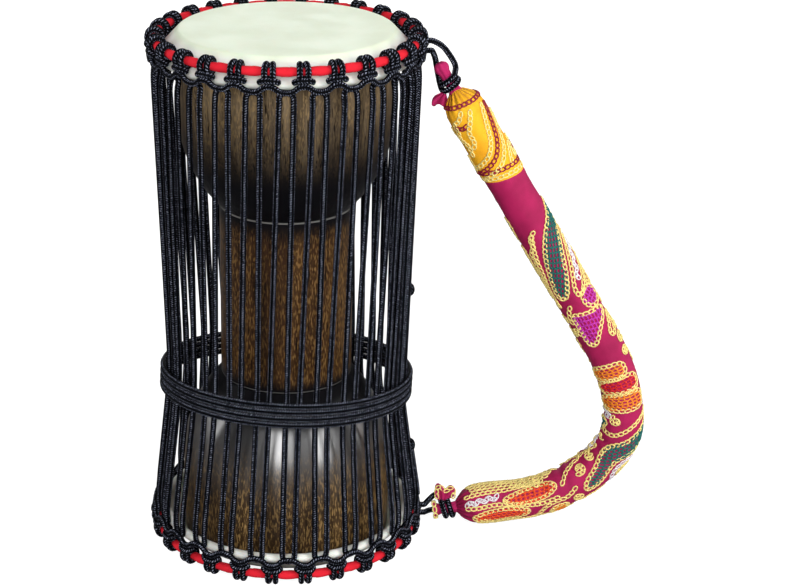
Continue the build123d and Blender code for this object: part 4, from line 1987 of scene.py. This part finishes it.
@dataclass
class StrapCover:
    """The strap's stuffed cloth tube, with its puckers and gathers."""

    path: StrapLine
    slack: float = 0.9
    loft: float = 0.6
    ground_gap: float = 2.0
    neck_reach: float = 3.2
    steps: int = 128
    sides: int = 28
    voxel: float = 4.5
    moments: int = 20
    cap: float = 2.2
    marks: int = 960
    bend_middle: float = 345.0
    bend_span: float = 62.0
    inner_edge: float = 0.15
    pucker: float = 1.1
    pucker_waves: Spot = (0.62, 0.37)
    gather: float = 0.55
    gathers: int = 9
    gather_span: float = 17.0
    uneven: float = 0.35
    uneven_waves: Spot = (0.11, 0.047)

    def plain_tube(self) -> Mesh:
        """A slightly slim tube that the stuffing then swells.

        Returns:
            The closed tube.
        """
        start = (self.path.neck_span - self.neck_reach) * MM
        stop = self.path.line.length - start
        places = []
        for step in range(self.steps + 1):
            along = start + (stop - start) * step / self.steps
            center, way = self.path.line.at(along)
            reach = self.path.section(along) - self.slack * MM
            for side in range(self.sides):
                places.append(center + self.path.around(way, TURN * side / self.sides) * reach)
        faces, _ = grid_faces(self.steps + 1, self.sides)
        first = range(self.sides)[::-1]
        last = range(self.steps * self.sides, (self.steps + 1) * self.sides)
        return mesh_from("plain_strap", places, [*faces, tuple(first), tuple(last)])

    def stuffed(self) -> Mesh:
        """Remesh the tube, swell it as stuffed cloth and keep the result.

        Returns:
            The swollen mesh.
        """
        piece = add_object("strap_stuffing", self.plain_tube())
        remesh = piece.modifiers.new("even", "REMESH")
        remesh.mode = "VOXEL"
        remesh.voxel_size = self.voxel * MM
        piece.data = baked(piece, "even_strap")
        self.swell(piece)
        smooth = piece.modifiers.new("smooth", "SUBSURF")
        smooth.levels = 1
        smooth.render_levels = 1
        mesh = baked(piece, "stuffed_strap")
        bpy.data.objects.remove(piece)
        return mesh

    def swell(self, piece: Piece) -> None:
        """Blow the cloth up with a steady pressure, keeping each point near its start.

        Args:
            piece: The strap, whose points are moved.
        """
        count = len(piece.data.vertices)
        start = np.zeros(count * 3, dtype=np.float32)
        piece.data.vertices.foreach_get("co", start)
        settings = piece.modifiers.new("stuffing", "CLOTH").settings
        settings.quality = 5
        settings.mass = 0.2
        settings.use_pressure = True
        settings.uniform_pressure_force = 4.0
        settings.tension_stiffness = 20.0
        settings.compression_stiffness = 20.0
        settings.shear_stiffness = 8.0
        settings.bending_stiffness = 0.3
        settings.effector_weights.gravity = 0.0
        scene = bpy.context.scene
        for moment in range(1, self.moments + 1):
            scene.frame_set(moment)
        swollen = baked(piece, "swollen_strap")
        scene.frame_set(1)
        end = np.zeros(count * 3, dtype=np.float32)
        swollen.vertices.foreach_get("co", end)
        moved = (end - start).reshape(-1, 3)
        far = np.linalg.norm(moved, axis=1, keepdims=True)
        moved *= np.minimum(1.0, self.cap * MM / np.maximum(far, 1e-9))
        piece.data.vertices.foreach_set("co", (start.reshape(-1, 3) + moved).ravel())
        piece.data.update()
        bpy.data.meshes.remove(swollen)

    def chart(self, places: np.ndarray) -> tuple[np.ndarray, np.ndarray, np.ndarray]:
        """Measure points against the strap's middle line.

        Args:
            places: Points in metres.

        Returns:
            Their distance along, their angle round from the front, and their offsets from the line.
        """
        marks = np.linspace(0.0, self.path.line.length, self.marks)
        pairs = [self.path.line.at(mark) for mark in marks]
        centers = np.array([center for center, _ in pairs])
        outs = np.array([self.path.outward(way) for _, way in pairs])
        nearest = np.array([np.argmin(((centers - place) ** 2).sum(axis=1)) for place in places])
        away = places - centers[nearest]
        angle = np.arctan2((away * outs[nearest]).sum(axis=1), -away[:, 1])
        return marks[nearest], angle, away

    def relief(self, run: np.ndarray, angle: np.ndarray) -> np.ndarray:
        """How far the bend's puckers and the necks' gathers stand out, in millimetres.

        Args:
            run: Distances along the strap in millimetres.
            angle: Angles round from its front.

        Returns:
            The heights.
        """
        inner = np.clip(-np.sin(angle) - self.inner_edge, 0.0, 1.0)
        bend = np.exp(-(((run - self.bend_middle) / self.bend_span) ** 2))
        short, long = self.pucker_waves
        folds = np.sin(run * short + 1.3 * np.cos(angle)) + 0.6 * np.sin(run * long + 1.1)
        edge = np.minimum(run, self.path.line.length / MM - run) - self.path.neck_span
        neck = np.clip(1.0 - edge / self.gather_span, 0.0, 1.0)
        short, long = self.uneven_waves
        sway = np.sin(run * short + 2.0 * angle) * np.sin(run * long + 0.7)
        gathers = self.gather * neck * np.cos(self.gathers * angle)
        return self.pucker * inner * bend * folds + gathers + self.uneven * sway

    def creased(self, mesh: Mesh) -> Mesh:
        """Give the cloth its full thickness and its creases, and lay the texture on it.

        Args:
            mesh: The stuffed mesh.

        Returns:
            The same mesh.
        """
        flat = np.zeros(len(mesh.vertices) * 3, dtype=np.float32)
        mesh.vertices.foreach_get("co", flat)
        places = flat.reshape(-1, 3).astype(float)
        along, angle, away = self.chart(places)
        reach = np.linalg.norm(away, axis=1)
        body = np.array([self.path.section(distance) for distance in along]) / MM
        full = (body - self.path.neck_radius) / (self.path.radius - self.path.neck_radius)
        growth = (self.path.radius + self.loft) * MM / np.median(reach[full > 0.99]) - 1.0
        depth = self.relief(along / MM, angle) * MM
        places = places + away * (growth * full + depth / np.maximum(reach, MM))[:, None]
        places[:, 2] = np.maximum(places[:, 2], self.ground_gap * MM)
        mesh.vertices.foreach_set("co", places.astype(np.float32).ravel())
        share = angle / TURN + 0.5
        layer = mesh.uv_layers.new(name="UVMap")
        for face in mesh.polygons:
            rounds = [share[v] for v in face.vertices]
            if max(rounds) - min(rounds) > 0.5:
                rounds = [r + 1.0 if r < 0.5 else r for r in rounds]
            for loop, vertex, around in zip(face.loop_indices, face.vertices, rounds):
                layer.data[loop].uv = (along[vertex], around)
        mesh.update()
        return mesh

    def build(self) -> Piece:
        """Make the stuffed strap.

        Returns:
            The strap.
        """
        piece = add_object("stuffed_strap", self.creased(self.stuffed()))
        finish = StrapFinish().material(self.path.line.length)
        dress(piece, finish, Slot.COTTON, ("strap_cover", "strap_filling"), Body.STRAP)
        return piece


@dataclass
class Stitching:
    """Chain-stitch links laid on the strap's cloth."""

    path: StrapLine
    pitch: float = 4.1
    length: float = 5.1
    width: float = 3.0
    thread_radius: float = 0.6
    tilt: float = 7.0
    proud: float = 0.55
    least_run: float = 0.5
    hem_lift: float = 1.1

    def row_links(self, row: StitchRow, tree: BVHTree) -> list[Stitch]:
        """Places, outward directions and runs of the links along one row.

        Args:
            row: One row of the embroidery.
            tree: The strap's cloth.

        Returns:
            The links that found the cloth.
        """
        line = row.line()
        runs = np.concatenate(([0.0], np.cumsum(np.linalg.norm(np.diff(line, axis=0), axis=1))))
        count = max(1, round(runs[-1] / self.pitch))
        hits = []
        for mark in np.linspace(0.0, runs[-1], count + 1):
            along, across = (float(np.interp(mark, runs, line[:, part])) for part in (0, 1))
            center, way = self.path.line.at(along * MM)
            aim = self.path.around(way, across / self.path.radius)
            place, normal, _, _ = tree.ray_cast(center, aim)
            if place is not None:
                hits.append((place, normal if normal.dot(aim) > 0 else -normal))
        links = []
        for (here, out), (after, _) in zip(hits, hits[1:]):
            run = after - here
            if run.length > self.least_run * MM:
                middle = (here + after) / 2 + out * (self.proud * self.thread_radius * MM)
                links.append((middle, out, run.normalized()))
        return links

    def hem_links(self, line: CordLine, out: Callable[[Vector], Vector]) -> list[Stitch]:
        """Lay links along a hem.

        Args:
            line: The hem in metres.
            out: Gives the direction out of the cloth at a place.

        Returns:
            The links.
        """
        links = []
        for mark in np.arange(self.pitch / 2 * MM, line.length, self.pitch * MM):
            place, run = line.at(mark)
            face = out(place)
            links.append((place + face * (self.hem_lift * MM), face, run))
        return links

    def build(self, strap: Piece, hems: list[Stitch]) -> None:
        """Lay the embroidery's links on the cloth, one piece for each thread.

        Args:
            strap: The stuffed strap.
            hems: Links of the lower ruffle's hems.
        """
        places = [vertex.co for vertex in strap.data.vertices]
        tree = BVHTree.FromPolygons(places, [tuple(face.vertices) for face in strap.data.polygons])
        shape = chain_tree()
        links: dict[Thread, list[Stitch]] = {thread: [] for thread in Thread}
        links[Thread.STRAW] += hems
        for row in Embroidery().draw():
            links[row.thread] += self.row_links(row, tree)
        for thread, found in links.items():
            points = bpy.data.meshes.new("stitch_points")
            points.from_pydata([tuple(link[0]) for link in found], [], [])
            for name, part in (("stitch_out", 1), ("stitch_run", 2)):
                vectors = np.array([link[part] for link in found], dtype=np.float32)
                layer = points.attributes.new(name, "FLOAT_VECTOR", "POINT")
                layer.data.foreach_set("vector", vectors.ravel())
            material = ThreadFinish(thread).material()
            sizes = {
                "Link length": self.length * MM,
                "Link width": self.width * MM,
                "Thread radius": self.thread_radius * MM,
                "Tilt": math.radians(self.tilt),
                "Finish": material,
            }
            piece = shape.run(add_object("stitch_points", points), f"{thread.label}_chain_stitch", sizes)
            dress(piece, material, Slot.COTTON, body=Body.STRAP)


@dataclass
class Ties:
    """The cords that tie the strap's necks to the crown rings, from hitch to hitch in millimetres."""

    path: StrapLine
    turns: float = 1.5
    per_turn: int = 12
    step: float = 5.2
    radius: float = 6.3
    tail: float = 10.8
    root: float = 6.0
    upper_in: tuple[Place, ...] = ((105.63, 0.0, 391.6), (112.6, 3.5, 388.2), (119.2, 8.5, 379.0))
    upper_out: tuple[Place, ...] = ((110.2, 10.2, 369.0), (108.4, 4.5, 379.0), (105.71, 0.0, 384.2))
    lower_in: tuple[Place, ...] = ((109.53, 0.0, 13.6), (114.8, 7.5, 16.0))
    lower_out: tuple[Place, ...] = ((116.4, 9.8, 5.2), (109.6, 0.0, 6.8))

    def route(self, upper: bool) -> list[Vector]:
        """Control points of one tie in metres: in from its hitch, round the neck and back.

        Args:
            upper: Whether it is the tie at the upper ring.

        Returns:
            The points.
        """
        neck, way = self.path.neck(upper)
        ahead = Vector((0.0, 1.0, 0.0)).cross(way)
        across = way.cross(ahead)
        reach = control_reach(self.radius, self.per_turn)
        wound = []
        for index in range(round(self.turns * self.per_turn) + 1):
            turn = math.pi + TURN * index / self.per_turn
            height = (index / self.per_turn - self.turns / 2) * self.step
            wound.append(neck + (ahead * math.cos(turn) + across * math.sin(turn)) * reach + way * height)
        entry = wound[0] + (wound[0] - wound[1]).normalized() * self.tail
        leave = wound[-1] + (wound[-1] - wound[-2]).normalized() * self.tail
        coming, going = (self.upper_in, self.upper_out) if upper else (self.lower_in, self.lower_out)
        return [Vector(point) * MM for point in (*coming, entry, *wound, leave, *going)]

    def build(self, material: Material) -> None:
        """Make both ties, and their roots in the hitches.

        Args:
            material: The cord's finish.
        """
        for name in ("upper", "lower"):
            route = self.route(name == "upper")
            roots = []
            for pivot in (route[0], route[-1]):
                inside = pivot - Vector((self.root, 0.0, 0.0)) * MM
                roots.append(CordLine([inside, inside.lerp(pivot, 0.5), pivot]))
            cord_piece(f"{name}_tie_root", roots, material, Body.DRUM)
            line = CordLine(smooth_line(route, steps=6))
            piece = cord_piece(f"{name}_tie_cord", [line], material, Body.STRAP, (f"{name}_strap_tie",))
            free_cord(line)


@dataclass(frozen=True)
class Flap:
    """A pleated flap of thin cloth in the strap's plane, with places across and up in millimetres."""

    name: str
    root: tuple[Spot, Spot]
    hem: tuple[Spot, ...]
    depth: float
    waves: float
    root_depth: float = 0.35
    columns: int = 40
    rows: int = 9
    drop: float = 8.0
    wall: float = 0.7

    def hem_line(self, share: float = 1.0, middle: Spot = (0.0, 0.0), unit: float = 1.0) -> CordLine:
        """The hem's smooth line, drawn in towards a place.

        Args:
            share: The share of the hem's distance from the place that is kept.
            middle: The place that it is drawn in to.
            unit: What a millimetre is in the line's unit.

        Returns:
            The line.
        """
        x, z = middle
        places = [(x + (across - x) * share, 0.0, z + (up - z) * share) for across, up in self.hem]
        return CordLine(smooth_line([Vector(place) * unit for place in places], steps=10))

    def build(self) -> Piece:
        """Make the flap with its thickness.

        Returns:
            The new object.
        """
        hem = self.hem_line()
        first, last = (Vector((x, 0.0, z)) for x, z in self.root)
        places = []
        for row in range(self.rows):
            share = row / (self.rows - 1)
            depth = self.depth * (self.root_depth + (1.0 - self.root_depth) * share)
            for column in range(self.columns):
                across = column / (self.columns - 1)
                place = first.lerp(last, across).lerp(hem.at(hem.length * across)[0], share)
                place.y += depth * math.sin(TURN * self.waves * across + 0.5)
                places.append(place * MM)
        faces, corners = grid_faces(
            self.rows,
            self.columns,
            lambda row, column: (column / (self.columns - 1), row / (self.rows - 1) * self.drop * MM),
            (False, False),
        )
        piece = add_object(self.name, mesh_from(self.name, places, faces, corners))
        wall = piece.modifiers.new("thickness", "SOLIDIFY")
        wall.thickness = self.wall * MM
        wall.offset = 0.0
        piece.data = baked(piece, self.name)
        return piece


UPPER_FLAP = Flap(
    "upper_flap",
    ((116.9, 351.2), (113.4, 352.4)),
    ((118.2, 345.6), (116.8, 340.6), (112.4, 344.6), (108.2, 340.8), (105.2, 345.6), (110.2, 351.0)),
    2.1,
    2.5,
)
LOWER_FAN = Flap(
    "lower_fan",
    ((127.4, 17.6), (121.4, 17.2)),
    ((133.0, 20.4), (134.2, 28.4), (129.8, 31.6), (126.0, 26.0), (121.2, 33.0), (116.8, 29.4), (118.2, 20.6)),
    1.9,
    3.0,
)


@dataclass
class Ruffles:
    """The gathered cloth through the ties and beyond them, in millimetres along and out from each neck."""

    path: StrapLine
    stitching: Stitching
    in_tie: tuple[Spot, ...] = ((8.6, 4.9), (6.0, 4.2), (0.0, 3.9), (-5.0, 3.9))
    bunch: tuple[Spot, ...] = (
        (-8.4, 4.1), (-10.4, 5.0), (-12.6, 5.3), (-14.8, 4.6), (-16.2, 3.0), (-16.4, 1.4), (-15.6, 0.3),
    )
    flare: tuple[Spot, ...] = (
        (-7.4, 4.7), (-9.4, 5.9), (-10.6, 6.3), (-10.9, 5.2), (-9.8, 3.0), (-9.4, 0.3),
    )
    sides: int = 48
    pleats: int = 8
    pleat_depth: float = 0.07
    pleat_from: float = 3.0
    brim_reach: float = 9.8
    brim_radius: float = 5.4
    brim_marks: int = 25
    hem_share: float = 0.86
    hem_middle: Spot = (125.35, 17.5)
    cut_width: float = 0.016
    cut_margin: float = 1.02

    def gathered_neck(self, name: str, upper: bool) -> Mesh:
        """The pleated cloth through a tie: at the top it ends in a round bunch, at the foot in a flare.

        Args:
            name: The mesh's name.
            upper: Whether it is the neck at the upper ring.

        Returns:
            The closed mesh.
        """
        neck, way = self.path.neck(upper)
        side = Vector((0.0, 1.0, 0.0))
        over = way.cross(side)
        outline = self.in_tie + (self.bunch if upper else self.flare)
        places = []
        for height, reach in outline:
            for index in range(self.sides):
                turn = TURN * index / self.sides
                wave = math.cos(self.pleats * turn + 0.3 * math.sin(3 * turn))
                pleat = 1.0 + self.pleat_depth * wave * min(1.0, reach / self.pleat_from)
                out = side * math.cos(turn) + over * math.sin(turn)
                places.append((neck + way * height + out * (reach * pleat)) * MM)

        def chart(row: int, column: int) -> Spot:
            """The texture place of a point: a share round the neck, and metres along it."""
            return column / self.sides, outline[row][0] * MM

        faces, corners = grid_faces(len(outline), self.sides, chart, flip=True)
        for row, columns in ((0, range(self.sides)), (len(outline) - 1, range(self.sides)[::-1])):
            faces.append(tuple(row * self.sides + column for column in columns))
            corners += [chart(row, column) for column in columns]
        mesh = mesh_from(name, places, faces, corners)
        mesh.validate()
        return mesh

    def hems(self) -> list[Stitch]:
        """Lay chain stitch round the lower neck's brim and along the fan's hem.

        Returns:
            The links.
        """
        neck, way = self.path.neck(False)
        over = way.cross(Vector((0.0, 1.0, 0.0)))
        brim = (neck - way * self.brim_reach) * MM
        lap = []
        for turn in np.linspace(0.0, TURN, self.brim_marks):
            out = Vector((0.0, math.cos(turn), 0.0)) + over * math.sin(turn)
            lap.append(brim + out * (self.brim_radius * MM))
        links = self.stitching.hem_links(CordLine(lap), lambda place: (place - brim).normalized())
        hem = LOWER_FAN.hem_line(self.hem_share, self.hem_middle, MM)
        return links + self.stitching.hem_links(hem, lambda place: FRONT)

    def build(self, strap: Piece) -> list[Stitch]:
        """Make the gathered necks and the flaps of cloth beyond the ties.

        Args:
            strap: The stuffed strap that the flaps hang from.

        Returns:
            The links of the chain stitch along the lower ruffle's hems.
        """
        cloth = ClothFinish("gathered_magenta_cotton", (0.46, 0.016, 0.115), (0.20, 0.004, 0.040), 0.03)
        material = cloth.material()
        for name in ("upper", "lower"):
            mesh = self.gathered_neck(f"{name}_gathered_neck", name == "upper")
            nodes = (f"{name}_strap_ruffle",)
            piece = dress(add_object(mesh.name, mesh), material, Slot.COTTON, nodes, Body.STRAP)
        for flap in (UPPER_FLAP, LOWER_FAN):
            piece = dress(flap.build(), material, Slot.COTTON, body=Body.STRAP)
        return self.hems()


@dataclass(frozen=True)
class Strip:
    """One tall strip of soft light, in degrees to the right of the camera, metres and watts."""

    name: str
    azimuth: float
    width: float
    power: float
    reach: float = 1.75
    middle: float = 0.88
    height: float = 1.5

    def build(self, aim: Vector) -> None:
        """Hang the strip, looking at a place.

        Args:
            aim: The place in metres.
        """
        data = bpy.data.lights.new(self.name, "AREA")
        data.shape = "RECTANGLE"
        data.size = self.width
        data.size_y = self.height
        data.energy = self.power
        lamp = bpy.data.objects.new(self.name, data)
        way = math.radians(self.azimuth - 90.0)
        lamp.location = (self.reach * math.cos(way), self.reach * math.sin(way), self.middle)
        lamp.rotation_euler = (aim - lamp.location).to_track_quat("-Z", "Y").to_euler()
        bpy.context.scene.collection.objects.link(lamp)


@dataclass
class Studio:
    """The floor, the soft lamps and the camera."""

    distance: float = 1.54482
    elevation: float = 21.83
    target_height: float = 0.19738
    focal_pixels: float = 2033.05
    frame_width: float = 786.0
    frame_height: float = 587.0
    axis_pixel: Spot = (286.3, 289.38)
    sensor: float = 36.0
    aim: Place = (0.08, 0.0, 0.2)
    room_light: float = 0.16
    floor_half: float = 6.0
    floor_tone: Colour = (0.32, 0.32, 0.32)
    floor_lift: float = 0.9
    strips: tuple[Strip, ...] = (
        Strip("key_strip", 42.0, 0.7, 25.0),
        Strip("front_strip", -8.0, 0.8, 25.0),
        Strip("left_strip", -97.0, 0.7, 14.0),
        Strip("right_strip", 96.0, 0.7, 13.0),
        Strip("back_strip", 180.0, 0.8, 9.0),
        Strip("top_strip", 0.0, 0.9, 4.0, 0.35, 2.1),
    )

    def camera(self) -> None:
        """Make the camera at the photograph's angle."""
        data = bpy.data.cameras.new("viewpoint")
        data.sensor_width = self.sensor
        data.lens = self.focal_pixels * self.sensor / self.frame_width
        data.shift_x = (self.frame_width / 2 - self.axis_pixel[0]) / self.frame_width
        data.shift_y = (self.axis_pixel[1] - self.frame_height / 2) / self.frame_width
        viewpoint = bpy.data.objects.new("viewpoint", data)
        lift = math.radians(self.elevation)
        back = Vector((0.0, -math.cos(lift), math.sin(lift))) * self.distance
        viewpoint.location = back + Vector((0.0, 0.0, self.target_height))
        viewpoint.rotation_euler = (math.radians(90.0 - self.elevation), 0.0, 0.0)
        bpy.context.scene.collection.objects.link(viewpoint)
        bpy.context.scene.camera = viewpoint

    def world(self) -> None:
        """White where the camera sees it, and a plain level of light elsewhere."""
        world = bpy.data.worlds.new("white_room")
        bpy.context.scene.world = world
        world.use_nodes = True
        nodes = NodeTree(world.node_tree)
        light = nodes.node("ShaderNodeBackground", WHITE, self.room_light).outputs[0]
        seen = nodes.node("ShaderNodeBackground", WHITE, 1.0).outputs[0]
        camera_ray = nodes.node("ShaderNodeLightPath").outputs["Is Camera Ray"]
        either = nodes.node("ShaderNodeMixShader", camera_ray, light, seen)
        nodes.node("ShaderNodeOutputWorld", either.outputs[0])

    def floor(self) -> None:
        """A wide pale floor that keeps the drum's shadow."""
        half = self.floor_half
        corners = [(-half, -half, 0.0), (half, -half, 0.0), (half, half, 0.0), (-half, half, 0.0)]
        ground = add_object("studio_floor", mesh_from("studio_floor", corners, [(0, 1, 2, 3)]))
        material = bpy.data.materials.new("pale_floor")
        material.use_nodes = True
        nodes = NodeTree(material.node_tree)
        camera_ray = nodes.node("ShaderNodeLightPath").outputs["Is Camera Ray"]
        glow = nodes.times(camera_ray, self.floor_lift)
        lift = nodes.node("ShaderNodeEmission", Color=WHITE, Strength=glow).outputs[0]
        matt = nodes.node("ShaderNodeBsdfDiffuse", Color=self.floor_tone).outputs[0]
        both = nodes.node("ShaderNodeAddShader", matt, lift)
        nodes.node("ShaderNodeOutputMaterial", Surface=both.outputs[0])
        ground.data.materials.append(material)

    def build(self) -> None:
        """Set up the whole studio."""
        bpy.context.scene.view_settings.view_transform = "Standard"
        self.camera()
        for strip in self.strips:
            strip.build(Vector(self.aim))
        self.world()
        self.floor()


def main() -> None:
    """Build every sub-assembly in order."""
    logging.basicConfig(level=logging.INFO, format="%(name)s: %(message)s")
    Studio().build()
    cord = CordFinish().material()
    path = StrapLine()
    strap = StrapCover(path).build()
    stitching = Stitching(path)
    stitching.build(strap, Ruffles(path, stitching).build(strap))
    Ties(path).build(cord)
    WoodenBody().build()
    Heads().build(SkinFinish().material())
    RingCloth().build(ClothFinish("red_ring_cloth", (0.74, 0.014, 0.030), (0.42, 0.005, 0.012)).material())
    Cradles().build(cord)
    plane = BeltPlane()
    Lacing(plane).build(cord)
    Belt(plane).build(cord)


if __name__ == "__main__":
    main()
